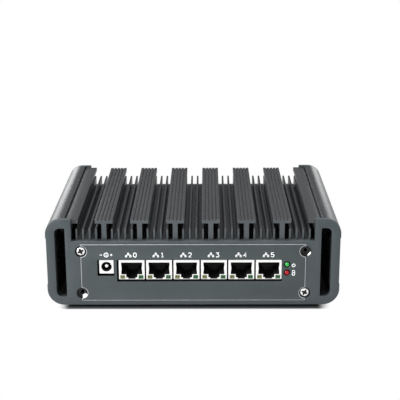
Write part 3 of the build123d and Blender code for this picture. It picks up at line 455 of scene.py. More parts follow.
def heatSinkPart():
    # The section runs along the channels' floor from right to left, and up and down each fin
    # and each T-shaped rail on its way. Rail k stands at (k - (count - 1) / 2) * pitch, and the
    # fins between two rails at even steps from firstFin to pitch - firstFin.
    look = bodyLook
    half, top = sinkHigh[0], sinkHigh[2]
    railXs = [(k - (look["rails"] - 1) / 2) * look["railPitch"] for k in range(look["rails"])]
    finPitch = (look["railPitch"] - 2 * look["firstFin"]) / (look["fins"] - 1)
    ups = [(x, "rail") for x in railXs]
    for gap in range(look["rails"] + 1):
        start = railXs[0] + (gap - 1) * look["railPitch"] + look["firstFin"]
        ups += [(start + k * finPitch, "fin") for k in range(look["fins"])]
    inner, corner = look["inner"], look["corner"]
    corners, radii = [(-half, sinkLow[2]), (half, sinkLow[2]), (half, floorZ)], [inner] * 3
    for x, kind in sorted(ups, reverse=True):
        if kind == "fin":
            t, h = look["finThickness"] / 2, floorZ + look["finHeight"]
            corners += [(x + t, floorZ), (x + t, h), (x - t, h), (x - t, floorZ)]
            radii += [inner, corner, corner, inner]
            continue
        w, h, under = look["web"] / 2, look["head"] / 2, top - look["headThickness"]
        corners += [(x + w, floorZ), (x + w, under), (x + h, under), (x + h, top)]
        radii += [inner, inner, corner, corner]
        for k in range(look["ridges"] - 1, 0, -1):
            middle = x - h + k * look["head"] / look["ridges"]
            g, low = look["grooveWidth"] / 2, top - look["grooveDepth"]
            corners += [(middle + g, top), (middle + 0.7 * g, low),
                        (middle - 0.7 * g, low), (middle - g, top)]
            radii += [look["grooveCorner"]] * 4
        corners += [(x - h, top), (x - h, under), (x - w, under), (x - w, floorZ)]
        radii += [corner, corner, inner, inner]
    corners += [(-half, floorZ)]
    radii += [inner]
    levels = roundEnds(coreFront, coreBack, look["sawnEdge"], 2)
    return prism(loopLevels(corners, radii, levels, steps=3), capKind=1)


def zigzag(rootX, tipX, low, high):
    # A row of ribs up a wall: root, tip, root, tip, with one rib to each pitch.
    count = max(1, int((high - low) / bodyLook["ribPitch"]))
    z = np.linspace(low, high, 2 * count + 1)
    x = np.where(np.arange(2 * count + 1) % 2 == 0, rootX, tipX)
    return [(float(a), float(b)) for a, b in zip(x, z)]


sideLook = {"coverEdge": 74.75, "coverThickness": 2.0, "railInner": 66.0, "lowerRailTop": 11.4,
            "upperRailLow": 32.0, "ceiling": 38.05, "cavity": 73.2, "recess": 75.17,
            "lipReach": 4.2, "lipThickness": 2.4, "flat": 55.3,
            "grooveInset": 3.7, "groove": 1.0, "grooveBottom": 53.7,
            "recessLow": 13.8, "recessHigh": 44.2, "recessRoot": 0.63, "recessTip": 0.33,
            "ductInner": 78.68, "ductOuter": 85.85, "ductLow": 5.53, "ductHigh": 50.51,
            "ductRadius": 3.1, "ribLow": 11.93, "ribHigh": 44.11, "ribDepth": 0.75,
            "taps": [(69.6, 7.95), (69.6, 35.4)], "tapRadius": 1.25, "tapDepth": 11.0,
            "tapSeam": 0.005}


def sidePart(side):
    # One section, with the duct as a hole in it, is carried from front to back in three
    # lengths, of which the two end ones hold the tapped holes too. It is worked out for the
    # right side, and the left one is its mirror image.
    look = sideLook
    groove, g = look["recess"] + look["grooveInset"], look["groove"] / 2
    lip, under = look["recess"] - look["lipReach"], look["flat"] - look["lipThickness"]
    ribs = zigzag(bodyHalf - look["recessRoot"], bodyHalf - look["recessTip"],
                  look["recessLow"], look["recessHigh"])
    corners = [(look["coverEdge"], 0), (bodyHalf, 0), (bodyHalf, look["recessLow"]), *ribs,
               (bodyHalf, look["recessHigh"]), (bodyHalf, bodyTop), (groove + g, bodyTop),
               (groove + g, look["grooveBottom"]), (groove - g, look["grooveBottom"]),
               (groove - g, look["flat"]), (lip, look["flat"]), (lip, under),
               (look["recess"], under), (look["recess"], look["ceiling"]),
               (look["railInner"], look["ceiling"]), (look["railInner"], look["upperRailLow"]),
               (look["cavity"], look["upperRailLow"]), (look["cavity"], look["lowerRailTop"]),
               (look["railInner"], look["lowerRailTop"]),
               (look["railInner"], look["coverThickness"]),
               (look["coverEdge"], look["coverThickness"])]
    radii = [0.15, bodyLook["heel"], 0.1, *[0.06] * len(ribs), 0.1, bodyLook["shoulder"], 0.35,
             0.15, 0.15, 0.25, 0.3, 0.3, 0.4, 0.2, 0.2, 0.2, 0.3, 0.3, 0.3, 0.2, 0.15]
    steps = [3, 20, 2, *[2] * len(ribs), 2, 24, 4, *[3] * 14]
    wall = look["ductOuter"]
    ductRibs = zigzag(wall, wall - look["ribDepth"], look["ribLow"], look["ribHigh"])
    duct = [(look["ductInner"], look["ductLow"]), (wall, look["ductLow"]), *ductRibs,
            (wall, look["ductHigh"]), (look["ductInner"], look["ductHigh"])]
    ductRadii = [0.15, look["ductRadius"], *[0.06] * len(ductRibs), look["ductRadius"], 0.15]
    ductSteps = [3, 8, *[2] * len(ductRibs), 8, 3]
    # The narrow seams keep the end faces of neighbouring lengths from being merged.
    frontEnd, backEnd = coreFront + look["tapDepth"], coreBack - look["tapDepth"]
    runs = [(coreFront, frontEnd, True),
            (frontEnd + look["tapSeam"], backEnd - look["tapSeam"], False),
            (backEnd, coreBack, True)]
    lengths = []
    for start, end, tapped in runs:
        levels = [(start, 0), (end, 0)]
        outer = lifted(loopLevels(corners, radii, levels, steps=steps), base)
        holes = [lifted(loopLevels(duct, ductRadii, levels, True, ductSteps), base)]
        if tapped:
            holes += [circleLevels(x, z + base, look["tapRadius"], levels, 32) for x, z in look["taps"]]
        lengths.append(prism(outer, holes))
    # The ribs in the side recess are left matt.
    low, high = look["recessLow"] + base, look["recessHigh"] + base

    def isRib(middles):
        inRecess = (middles[:, 2] > low) & (middles[:, 2] < high)
        return inRecess & (middles[:, 0] > bodyHalf - look["recessRoot"] - 0.05)

    vertices, faces, kinds = refinished(joined(lengths), isRib, 1)
    return vertices * np.array([side, 1, 1]), faces, kinds


addPiece("heatSink", heatSinkPart(), ["dark_anodised", "sawn_end"], "heat_sink")
for side, name in ((-1, "left"), (1, "right")):
    addPiece(f"{name}Side", sidePart(side), ["dark_anodised", "matt_ribs"], f"{name}_side_profile")
print("body: heat sink and two side extrusions")


# End frames and port plates

# The last two entries give the angles and the inner radius of the painted highlights in the two empty
# seats.
endLook = {"screwX": 69.6, "screwLow": 7.95, "screwHigh": 35.4,
           "seat": 3.5, "clear": 1.7, "seatDepth": 2.1, "seatFillet": 0.5,
           "windowHalf": 70.05, "windowLow": 2.65, "windowHigh": 40.4, "windowEdge": 0.05,
           "plateHalf": 69.85, "plateLow": 2.85, "plateHigh": 40.2, "plateEdge": 0.4,
           "edgeFall": 0.12, "outlineEdge": 0.3, "slotEdge": 0.25, "slotInner": 79.08,
           "slotOuter": 85.45, "slotLow": 5.65, "slotHigh": 50.45, "slotRadius": 3.2,
           "portEdge": 0.12, "bezelSeatHighlight": (-68, -12, 2.4), "plateSeatHighlight": (-88, -28, 2.3)}


def bittenRectangle(half, low, high, bite, outward):
    # A rectangle whose four screw places are cut by circles. The right side runs upwards: a
    # corner, an arc round each screw from one crossing of the side to the other, and a corner.
    # The left side is its mirror image, run downwards.
    look = endLook
    crossing = math.acos((half - look["screwX"]) / bite)
    if outward:
        a = np.linspace(-crossing, crossing, 25)
    else:
        a = np.linspace(-crossing, crossing - 2 * math.pi, 41)
    arc = bite * np.stack([np.cos(a), np.sin(a)], 1)
    right = np.concatenate([[(half, low)], arc + (look["screwX"], look["screwLow"]),
                            arc + (look["screwX"], look["screwHigh"]), [(half, high)]])
    return np.concatenate([right, right[::-1] * (-1, 1)]) + (0, base)


def bittenLevels(half, low, high, edge, outward):
    # The plate's edge falls away a little at the face, steps in at the depth of the seats, and
    # runs on with the narrower clearance circles. A window grows where a plate shrinks.
    look = endLook
    sign = 1 if outward else -1
    seat, deep = look["seat"], look["seatDepth"]
    loops = []
    for depth, inset, bite in ((0, edge, seat), (look["edgeFall"], 0, seat),
                               (deep - look["seatFillet"], 0, seat),
                               (deep, 0, seat - look["seatFillet"]), (deep, 0, look["clear"]),
                               (coreFront - faceY, 0, look["clear"])):
        grown = sign * inset
        points = bittenRectangle(half + grown, low - grown, high + grown, bite + inset, outward)
        loops.append((faceY + depth, points))
    return loops


def seatFaces(x, z, start=-180, end=180, inner=0):
    # Picks the faces inside a screw seat, or only those between two angles and outside a radius.
    def chosen(middles):
        u, w = middles[:, 0] - x, middles[:, 2] - z - base
        reach, angle = np.hypot(u, w), np.degrees(np.arctan2(w, u))
        inside = (reach < endLook["seat"] + 0.1) & (reach > inner) & (middles[:, 1] > faceY + 0.1)
        return inside & (angle > start) & (angle < end)
    return chosen


def paintShadeInSeats(part, kind):
    # All four screw seats in the near-black finish, as painted shade in their hollows.
    for x in (-endLook["screwX"], endLook["screwX"]):
        for z in (endLook["screwLow"], endLook["screwHigh"]):
            part = refinished(part, seatFaces(x, z), kind)
    return part


def bezelPart():
    # The body's outline with its shallow side recesses and the channel over the heat sink, as a
    # frame: its holes are the plate's window with the screw bites and the mouths of both ducts.
    look = endLook
    recess, floor = sideLook["recess"], floorZ - base
    flank = bodyHalf - sideLook["recessTip"]
    low, high = sideLook["recessLow"], sideLook["recessHigh"]
    hollow = [(bodyHalf, low), (flank, low + 0.4), (flank, high - 0.4), (bodyHalf, high)]
    corners = [(-bodyHalf, 0), (bodyHalf, 0), *hollow, (bodyHalf, bodyTop), (recess, bodyTop),
               (recess, floor), (-recess, floor), (-recess, bodyTop), (-bodyHalf, bodyTop),
               *[(-x, z) for x, z in hollow[::-1]]]
    heel, shoulder = bodyLook["heel"], bodyLook["shoulder"]
    radii = [heel, heel, *[0.2] * 4, shoulder, 0.4, 0.3, 0.3, 0.4, shoulder, *[0.2] * 4]
    steps = [20, 20, *[3] * 4, 24, 4, 3, 3, 4, 24, *[3] * 4]

    def rim(edge, middle):
        return [(faceY, edge), (faceY + middle, middle), (faceY + edge, 0), (coreFront, 0)]

    outer = lifted(loopLevels(corners, radii, rim(look["outlineEdge"], 0.09), steps=steps), base)
    holes = [bittenLevels(look["windowHalf"], look["windowLow"], look["windowHigh"],
                          look["windowEdge"], True)]
    near, far = 0.3, look["slotRadius"]
    for side, slotRadii in ((-1, [far, near, near, far]), (1, [near, far, far, near])):
        x0, x1 = sorted((side * look["slotInner"], side * look["slotOuter"]))
        slot = loopLevels(rectangle(x0, x1, look["slotLow"], look["slotHigh"]), slotRadii,
                          rim(look["slotEdge"], 0.08), True, 8)
        holes.append(lifted(slot, base))
    return prism(outer, holes)


def platePart(rectangles, circles):
    # The plate's bitten outline, less its rectangular and round openings, whose edges are broken.
    look = endLook
    outer = bittenLevels(look["plateHalf"], look["plateLow"], look["plateHigh"],
                         look["plateEdge"], False)
    edges = edged(faceY, coreFront, look["portEdge"])
    holes = [boxLevels(rectangle(*limits), 0.25, edges, True) for limits in rectangles]
    holes += [circleLevels(x, z, radius, edges) for x, z, radius in circles]
    # The outline's broken edge at the face takes the painted highlight finish, and the openings' walls
    # take the near-black finish, as painted shade.
    strips = {0: {0: 1}}
    strips.update({number: {1: 3} for number in range(1, len(holes) + 1)})
    return prism(outer, holes, edgeStrips=strips)


portLook = {"side": 1.1, "last": 0.25, "low": 1.3, "high": 0.2, "powerLow": 1.4, "powerRight": 0.35,
            "lampHole": 2.05, "rearGap": 0.35, "buttonHole": 4.3, "plugHole": 3.25, "usbWidth": 13.2,
            "plugRadius": 4.4}
jacks = [boxOf(f"lan_shield_{k}") for k in range(6)]
powerLow, powerHigh = boxOf("power_socket_shield")
lampSpots = [sum(boxOf(node)) / 2 for node in ("power_lamp", "drive_lamp")]

# The two empty seats are painted bright at their lower right, a painted highlight on their walls, and
# all seats are painted dark as shade.
bezel = paintShadeInSeats(bezelPart(), 1)
seatHighlight = seatFaces(endLook["screwX"], endLook["screwHigh"], *endLook["bezelSeatHighlight"])
highlightedBezel = refinished(bezel, seatHighlight, 2)
addPiece("frontBezel", highlightedBezel, ["end_anodised", "painted_recess_shade", "painted_seat_highlight"], "front_bezel")
addPiece("rearBezel", turned(bezel), ["end_anodised", "painted_recess_shade"], "rear_bezel")
portTop = jacks[0][1][2] + portLook["high"]
jackWindow = (jacks[0][0][0] - portLook["side"], jacks[5][1][0] + portLook["last"],
              jacks[0][0][2] - portLook["low"], portTop)
powerWindow = (powerLow[0] - portLook["side"], powerHigh[0] + portLook["powerRight"],
               powerLow[2] - portLook["powerLow"], portTop)
lampHoles = [(spot[0], spot[2], portLook["lampHole"]) for spot in lampSpots]
frontPlate = paintShadeInSeats(platePart([jackWindow, powerWindow], lampHoles), 3)
# The empty seat at the plate's lower left gets the painted highlight too.
seatHighlight = seatFaces(-endLook["screwX"], endLook["screwLow"], *endLook["plateSeatHighlight"])
frontPlate = refinished(frontPlate, seatHighlight, 2)
plateFinish = ["dark_plate", "painted_edge_highlight", "painted_seat_highlight", "painted_recess_shade"]
addPiece("frontPlate", frontPlate, plateFinish, "front_plate")

# The rear plate is worked out at the front end and turned, so its openings are mirrored here.
console, video = boxOf("console_shield"), boxOf("video_shell")
usbLow, usbHigh = boxOf("usb_shells")
plugLow, plugHigh = boxOf("antenna_plugs")
buttonX, _, buttonZ = sum(boxOf("power_button")) / 2
usbHalf = portLook["usbWidth"] / 2
usbXs = [usbLow[0] + usbHalf, usbHigh[0] - usbHalf]
plugXs = [plugLow[0] + portLook["plugRadius"], plugHigh[0] - portLook["plugRadius"]]
plugZ = (plugLow[2] + plugHigh[2]) / 2
gap = portLook["rearGap"]
rearRectangles = [(-hi[0] - gap, -lo[0] + gap, lo[2] - gap, hi[2] + gap) for lo, hi in (console, video)]
rearRectangles += [(-x - usbHalf - gap, -x + usbHalf + gap, usbLow[2] - gap, usbHigh[2] + gap)
                   for x in usbXs]
rearCircles = [(-buttonX, buttonZ, portLook["buttonHole"])]
rearCircles += [(-x, plugZ, portLook["plugHole"]) for x in plugXs]
rearPlate = turned(paintShadeInSeats(platePart(rearRectangles, rearCircles), 3))
addPiece("rearPlate", rearPlate, plateFinish, "rear_plate")
print("ends: two frames and two port plates")


# Screws

screwLook = {"head": 2.65, "headHeight": 1.8, "shank": 1.2, "length": 9.0, "reach": 1.75, "dome": 0.5,
             "cross": 0.62, "crossDepth": 1.2, "crossFade": 0.28, "paintedShadeBelow": 0.35,
             "pitch": 0.5, "thread": 0.12}


def screwHead(radius, height, reach, dome):
    # A round head as a height over radius and angle: height - dome * (r / radius)^4, less a
    # cross whose depth fades with the distance from its arms, so its walls lean as a driver
    # recess does. A rim of four rings carries it down to the underside.
    look = screwLook
    r = np.concatenate([np.linspace(0.02, reach * 1.15, 26),
                        np.linspace(reach * 1.2, radius * 0.97, 12)])
    a = np.linspace(0, 2 * np.pi, 160, endpoint=False)
    rr, aa = np.meshgrid(r, a, indexing="ij")
    u, v = np.abs(rr * np.cos(aa)), np.abs(rr * np.sin(aa))
    off = np.minimum(v + np.maximum(u - reach * 0.8, 0) * 0.9, u + np.maximum(v - reach * 0.8, 0) * 0.9)
    fade = np.clip((off - look["cross"] * 0.75) / look["crossFade"], 0, 1)
    depth = look["crossDepth"] * (1 - fade)
    z = height - dome * (rr / radius) ** 4 - depth
    rim = [(radius * 0.99, height - dome * 0.96 - 0.02), (radius, height - dome - 0.08),
           (radius, 0.06), (radius - 0.05, 0)]
    rings = [np.stack([rr * np.cos(aa), rr * np.sin(aa), z], 2)]
    for ringRadius, ringZ in rim:
        points = [ringRadius * np.cos(a), ringRadius * np.sin(a), np.full_like(a, ringZ)]
        rings.append(np.stack(points, 1)[None])
    grid = np.concatenate(rings)
    # Faces deeper than the set depth take the second finish, near black, as painted shade inside the
    # cross.
    low = np.concatenate([depth, np.zeros((len(rim), len(a)))])
    dark = np.minimum(low[:-1], low[1:]) > look["paintedShadeBelow"]
    kinds = dark.astype(int).ravel().tolist() + [1, 0]
    return grid.reshape(-1, 3), gridFaces(len(grid), len(a)) + ringCaps(len(grid), len(a)), kinds


def shank(radius, length, top=0):
    # A threaded shank: the radius rises and falls by a small saw-tooth along the length.
    h = np.linspace(0, -length, int(length / screwLook["pitch"] * 4) + 1)
    saw = np.abs(((h / screwLook["pitch"]) % 1) * 2 - 1)
    r = radius - screwLook["thread"] + screwLook["thread"] * saw
    return lathe(np.stack([r, h], 1), (0, 0, top), count=32)


def placed(part, spot, direction):
    # Turns a part that stands on +Z so that it looks along -Y, +Y or -Z, and moves it.
    vertices, faces, kinds = part
    turns = {"front": [[1, 0, 0], [0, 0, -1], [0, 1, 0]], "back": [[-1, 0, 0], [0, 0, 1], [0, 1, 0]],
             "down": [[1, 0, 0], [0, -1, 0], [0, 0, -1]]}
    return vertices @ np.array(turns[direction]).T + np.asarray(spot, float), faces, kinds


def spun(part, degrees):
    # Turns a part about +Z.
    vertices, faces, kinds = part
    a = math.radians(degrees)
    turn = np.array([[math.cos(a), -math.sin(a), 0], [math.sin(a), math.cos(a), 0], [0, 0, 1]])
    return vertices @ turn.T, faces, kinds


# Two of the four front screws are missing. Each screw is (side, height, turn in degrees).
plateScrewSpots = {
    "front": [(-1, endLook["screwHigh"], 24), (1, endLook["screwLow"], 61)],
    "back": [(-1, endLook["screwLow"], 10), (-1, endLook["screwHigh"], 50),
             (1, endLook["screwLow"], 35), (1, endLook["screwHigh"], 72)],
}
plateScrewHead = screwHead(*(screwLook[key] for key in ("head", "headHeight", "reach", "dome")))
plateScrew = joined([plateScrewHead, shank(screwLook["shank"], screwLook["length"])])
for end, name, sign in (("front", "front", 1), ("back", "rear", -1)):
    screws = []
    for side, z, turn in plateScrewSpots[end]:
        spot = (side * endLook["screwX"], sign * (faceY + endLook["seatDepth"]), z + base)
        screws.append(placed(spun(plateScrew, turn), spot, end))
    addPiece(f"{name}Screws", joined(screws), ["bright_screw", "painted_recess_shade"], f"{name}_plate_screws")
print("screws: front and rear")


# Network sockets

socketLook = {"wall": 0.3, "corner": 0.35, "edge": 0.12, "mouthWidth": 13.1, "mouthHeight": 7.9,
              "mouthDrop": 1.68, "bulge": 0.26, "bulgeHalf": 2.4, "stepWidth": 7.0, "stepHeight": 2.1,
              "latchWidth": 4.5, "latchHeight": 0.85, "cavityDepth": 15.0, "lampWidth": 3.0,
              "lampHeight": 2.4, "lampOffset": 5.7, "lampRise": 0.42, "lampDepth": 4.0,
              "lampGap": 0.05, "lampSink": 0.04, "faceDepth": 0.5, "pitWidth": 0.84, "pitHeight": 0.9}


def mouthLoop(x, top, sprung):
    # The mouth's outline, run anticlockwise: latch notch, step, wide opening. Springs make its
    # upright sides bow inwards by bulge * cos(pi / 2 * distance from the middle / half length).
    look = socketLook
    z2 = top - look["mouthHeight"]
    z1 = z2 - look["stepHeight"]
    z0 = z1 - look["latchHeight"]
    a, b, c = look["latchWidth"] / 2, look["stepWidth"] / 2, look["mouthWidth"] / 2
    lower = [(-a, z0), (a, z0), (a, z1), (b, z1), (b, z2), (c, z2)]
    z = np.linspace(z2, top, 15)[1:-1]
    reach = np.clip((z - (z2 + top) / 2) / look["bulgeHalf"], -1, 1)
    bump = look["bulge"] * np.cos(reach * np.pi / 2) if sprung else 0 * z
    right = np.stack([c - bump, z], 1)
    left = np.stack([-c + bump[::-1], z[::-1]], 1)
    ends = [(-c, z2), (-b, z2), (-b, z1), (-a, z1)]
    return np.concatenate([lower, right, [(c, top), (-c, top)], left, ends]) + (x, 0)


def windowLimits(x, low, side, spare):
    # A lamp window's corners, moved out by the spare all round.
    look = socketLook
    middle, z = x + side * look["lampOffset"], low + look["lampRise"]
    half = look["lampWidth"] / 2 + spare
    return rectangle(middle - half, middle + half, z - spare, z + look["lampHeight"] + spare)


def straight(points, start, end):
    # The same outline at two depths.
    return [(start, np.array(points)), (end, np.array(points))]


def canParts(limits, front, back, corner):
    # The part of a folded metal can behind its face: four walls and a closed back, in the second finish,
    # near black, as painted shade.
    wall = socketLook["wall"]
    sides = [(front + wall, 0), (back - wall, 0)]
    tube = prism(boxLevels(limits, corner, sides), [boxLevels(insideOf(limits, wall), 0.1, sides)])
    end = prism(boxLevels(limits, corner, [(back - wall, 0), (back, 0)]))
    return [kindOf(tube, 1), kindOf(end, 1)]


def shieldPart(lo, hi):
    # A sheet with the mouth and the two lamp windows, in front of the can.
    look = socketLook
    x, top, front = (lo[0] + hi[0]) / 2, hi[2] - look["mouthDrop"], lo[1]
    behind = front + look["wall"]
    limits = rectangle(lo[0], hi[0], lo[2], hi[2])
    holes = [straight(mouthLoop(x, top, True), front, behind)]
    for side in (-1, 1):
        holes.append(straight(windowLimits(x, lo[2], side, look["lampGap"]), front, behind))
    face = prism(boxLevels(limits, look["corner"], edged(front, behind, look["edge"])), holes)
    return joined([face, *canParts(limits, front, hi[1], look["corner"])])


def insertPart(lo, hi):
    # Three blocks one behind the other: with mouth and windows, with the mouth alone, and solid.
    look = socketLook
    wall = look["wall"]
    x, top = (lo[0] + hi[0]) / 2, hi[2] - look["mouthDrop"]
    limits = insideOf(rectangle(lo[0], hi[0], lo[2], hi[2]), wall)
    mouth = mouthLoop(x, top, False)
    windows = [windowLimits(x, lo[2], side, look["lampGap"]) for side in (-1, 1)]
    depths = [lo[1] + wall, lo[1] + look["lampDepth"], lo[1] + wall + look["cavityDepth"], hi[1] - wall]
    slabs = []
    for start, end, loops in zip(depths, depths[1:], ([mouth, *windows], [mouth], [])):
        outer = boxLevels(limits, 0.1, [(start, 0), (end, 0)], steps=2)
        slabs.append(prism(outer, [straight(loop, start, end) for loop in loops]))
    return joined(slabs)


def windowPart(lo, hi, side):
    # A light pipe whose face has two small square pits.
    look = socketLook
    front = lo[1] + look["lampSink"]
    behind = front + look["faceDepth"]
    limits = windowLimits((lo[0] + hi[0]) / 2, lo[2], side, -0.02)
    (x0, z0), (x1, z1) = limits[0], limits[2]
    w, h, z = look["pitWidth"] / 2, look["pitHeight"] / 2, (z0 + z1) / 2
    pits = []
    for share in (0.3, 0.7):
        x = x0 + (x1 - x0) * share
        pits.append(straight(rectangle(x - w, x + w, z - h, z + h), front, behind))
    face = prism(boxLevels(limits, 0.12, edged(front, behind, 0.06), steps=3), pits)
    stem = prism(boxLevels(limits, 0.12, [(behind, 0), (lo[1] + look["lampDepth"], 0)], steps=3))
    # The stem behind the face takes the second finish, near black, as painted shade.
    return joined([face, kindOf(stem, 1)])


def turnedBox(lo, hi):
    # A rear socket's box as it lies once turned to the front end.
    return np.array([-hi[0], -hi[1], lo[2]]), np.array([-lo[0], -lo[1], hi[2]])


shieldFinish = ["plated_shield", "painted_can_shade"]
for number, (lo, hi) in enumerate(jacks):
    addPiece(f"lanShield{number}", shieldPart(lo, hi), shieldFinish, f"lan_shield_{number}")
    addPiece(f"lanInsert{number}", insertPart(lo, hi), ["black_moulding"], f"lan_insert_{number}")
consoleTurned = turnedBox(*console)
addPiece("consoleShield", turned(shieldPart(*consoleTurned)), shieldFinish, "console_shield")
addPiece("consoleInsert", turned(insertPart(*consoleTurned)), ["black_moulding"], "console_insert")
for side, name in ((-1, "yellow"), (1, "green")):
    windows = [windowPart(lo, hi, side) for lo, hi in jacks] + [turned(windowPart(*consoleTurned, side))]
    addPiece(f"socketWindows_{name}", joined(windows), [f"{name}_window", "painted_recess_shade"],
             f"socket_lamps_{name}")
print("network sockets:", len(jacks), "and the console socket")


# Power socket and front lamps

powerLook = {"wall": 0.3, "corner": 0.3, "edge": 0.1, "faceBore": 3.25, "bore": 2.9, "boreEdge": 0.25,
             "boreDepth": 9.5, "pin": 1.2, "pinInset": 1.0, "pinNose": 0.8}
powerX, powerZ = (powerLow[0] + powerHigh[0]) / 2, (powerLow[2] + powerHigh[2]) / 2
powerFront, powerBack = powerLow[1], powerHigh[1]
powerLimits = rectangle(powerLow[0], powerHigh[0], powerLow[2], powerHigh[2])


def powerShieldPart():
    # A sheet with a round opening, in front of a can.
    look = powerLook
    edges = edged(powerFront, powerFront + look["wall"], look["edge"])
    face = prism(boxLevels(powerLimits, look["corner"], edges),
                 [circleLevels(powerX, powerZ, look["faceBore"], edges)])
    return joined([face, *canParts(powerLimits, powerFront, powerBack, look["corner"])])


def powerBodyPart():
    # A block with a bore whose mouth widens, and a solid block behind it.
    look = powerLook
    front, back = powerFront + look["wall"], powerBack - look["wall"]
    end = front + look["boreDepth"]
    limits = insideOf(powerLimits, look["wall"])
    bore = circleLevels(powerX, powerZ, look["bore"], edged(front, end, look["boreEdge"]))
    tube = prism(boxLevels(limits, 0.1, [(front, 0), (end, 0)], steps=2), [bore])
    return joined([tube, prism(boxLevels(limits, 0.1, [(end, 0), (back, 0)], steps=2))])


def domeProfile(radius, front, back, nose):
    # A round nose and a straight side: radius r sin(a), depth along an ellipse of depth nose.
    a = np.linspace(0.04, np.pi / 2, 14)
    r = np.concatenate([radius * np.sin(a), [radius]])
    y = np.concatenate([front + nose * (1 - np.cos(a)), [back]])
    return np.stack([r, y], 1)


addPiece("powerShield", powerShieldPart(), shieldFinish, "power_socket_shield")
addPiece("powerBody", powerBodyPart(), ["black_moulding"], "power_socket_body")
pin = domeProfile(powerLook["pin"], powerFront + powerLook["pinInset"],
                  powerFront + powerLook["wall"] + powerLook["boreDepth"], powerLook["pinNose"])
addPiece("powerPin", lathe(pin, (powerX, 0, powerZ), "y", 48), ["bright_screw"], "power_socket_pin")

lampLook = {"radius": 1.6, "nose": 1.15, "paintedShadeRadius": 1.3}


def lampRim(x, z):
    # Picks the outer part of a lamp, which takes the dark rim finish, painted shade round the lighter
    # middle.
    def chosen(middles):
        return np.hypot(middles[:, 0] - x, middles[:, 2] - z) > lampLook["paintedShadeRadius"]
    return chosen


for colour, node, (x, _, z) in zip(("green", "red"), ("power_lamp", "drive_lamp"), lampSpots):
    lo, hi = boxOf(node)
    lamp = lathe(domeProfile(lampLook["radius"], lo[1], hi[1], lampLook["nose"]), (x, 0, z), "y", 64)
    addPiece(node.replace("_l", "L"), refinished(lamp, lampRim(x, z), 1),
             [f"{colour}_lamp", f"{colour}_rim"], node, sharp=50)
print("power socket and lamps")


# Rear ports. The profiles give (radius, height over the rear plate's face).

rearLook = {"usbMouthWidth": 12.4, "usbMouthHeight": 5.2, "usbPitch": 7.4, "usbEnd": 1.0,
            "usbCorner": 0.4, "tongueWidth": 10.8, "tongueInset": 1.5, "tongueThickness": 1.9,
            "tongueBelow": 0.3, "videoWall": 0.5, "videoCorner": 1.5, "videoEnd": 1.0, "edge": 0.1}
plugProfile = [(2.0, 0.5), (4.0, 0.5), (4.25, 0.42), (4.4, 0.25), (4.4, 0), (3.15, 0), (3.15, -5.0)]
buttonProfile = [(0.4, 0.28), (2.4, 0.3), (2.9, 0.36), (3.3, 0.5), (3.6, 0.5), (3.88, 0.38),
                 (4.0, 0.1), (4.0, -2.7), (1.5, -2.7), (1.5, -5.9)]
usbFrontLow, usbFrontHigh = turnedBox(usbLow, usbHigh)
usbRows = [(usbFrontLow[2] + usbFrontHigh[2]) / 2 + sign * rearLook["usbPitch"] / 2 for sign in (-1, 1)]


def usbPart(x):
    # A shell with two mouths, one over the other, in front of a solid end.
    look = rearLook
    front, back = usbFrontLow[1], usbFrontHigh[1]
    end = back - look["usbEnd"]
    w, h, edge = look["usbMouthWidth"] / 2, look["usbMouthHeight"] / 2, look["edge"]
    limits = rectangle(x - usbHalf, x + usbHalf, usbFrontLow[2], usbFrontHigh[2])
    mouths = [boxLevels(rectangle(x - w, x + w, z - h, z + h), 0.3, edged(front, end, edge), True)
              for z in usbRows]
    shell = prism(boxLevels(limits, look["usbCorner"], edged(front, end, 0.12)), mouths)
    return joined([shell, prism(boxLevels(limits, look["usbCorner"], [(end, 0), (back, 0)]))])


def tonguePart(x):
    # Two flat bars with rounded ends, one in each mouth.
    look = rearLook
    w = look["tongueWidth"] / 2
    levels = roundEnds(usbFrontLow[1] + look["tongueInset"], usbFrontHigh[1] - look["usbEnd"], 0.15, 3)
    bars = []
    for z in usbRows:
        low = z - look["tongueBelow"]
        limits = rectangle(x - w, x + w, low, low + look["tongueThickness"])
        bars.append(prism(boxLevels(limits, 0.2, levels, steps=3)))
    return joined(bars)


def videoPart():
    # A shell whose mouth has its two lower corners cut, in front of a solid end.
    look = rearLook
    lo, hi = turnedBox(*video)
    w, c = look["videoWall"], look["videoCorner"]
    limits = rectangle(lo[0], hi[0], lo[2], hi[2])
    (x0, z0), (x1, z1) = np.add((lo[0], lo[2]), w), np.subtract((hi[0], hi[2]), w)
    mouth = [(x0 + c, z0), (x1 - c, z0), (x1, z0 + c), (x1, z1), (x0, z1), (x0, z0 + c)]
    end = hi[1] - look["videoEnd"]
    edges = edged(lo[1], end, look["edge"])
    shell = prism(boxLevels(limits, 0.3, edges), [loopLevels(mouth, [0.2] * 6, edges, True, 3)])
    return joined([shell, prism(boxLevels(limits, 0.3, [(end, 0), (hi[1], 0)]))])


addPiece("usbShells", turned(joined([usbPart(-x) for x in usbXs])), ["plated_shield"], "usb_shells")
addPiece("usbTongues", turned(joined([tonguePart(-x) for x in usbXs])), ["usb_tongue"], "usb_tongues")
addPiece("videoShell", turned(videoPart()), ["plated_shield"], "video_shell")
addPiece("antennaPlugs", joined([lathe(plugProfile, (x, -faceY, plugZ), "y") for x in plugXs]),
         ["foot_rubber"], "antenna_plugs")
addPiece("powerButton", lathe(buttonProfile, (buttonX, -faceY, buttonZ), "y", 96), ["button_finish"],
         "power_button", body="power_button")
print("rear ports, plugs and button")


# Underside: cover, its screws and the feet

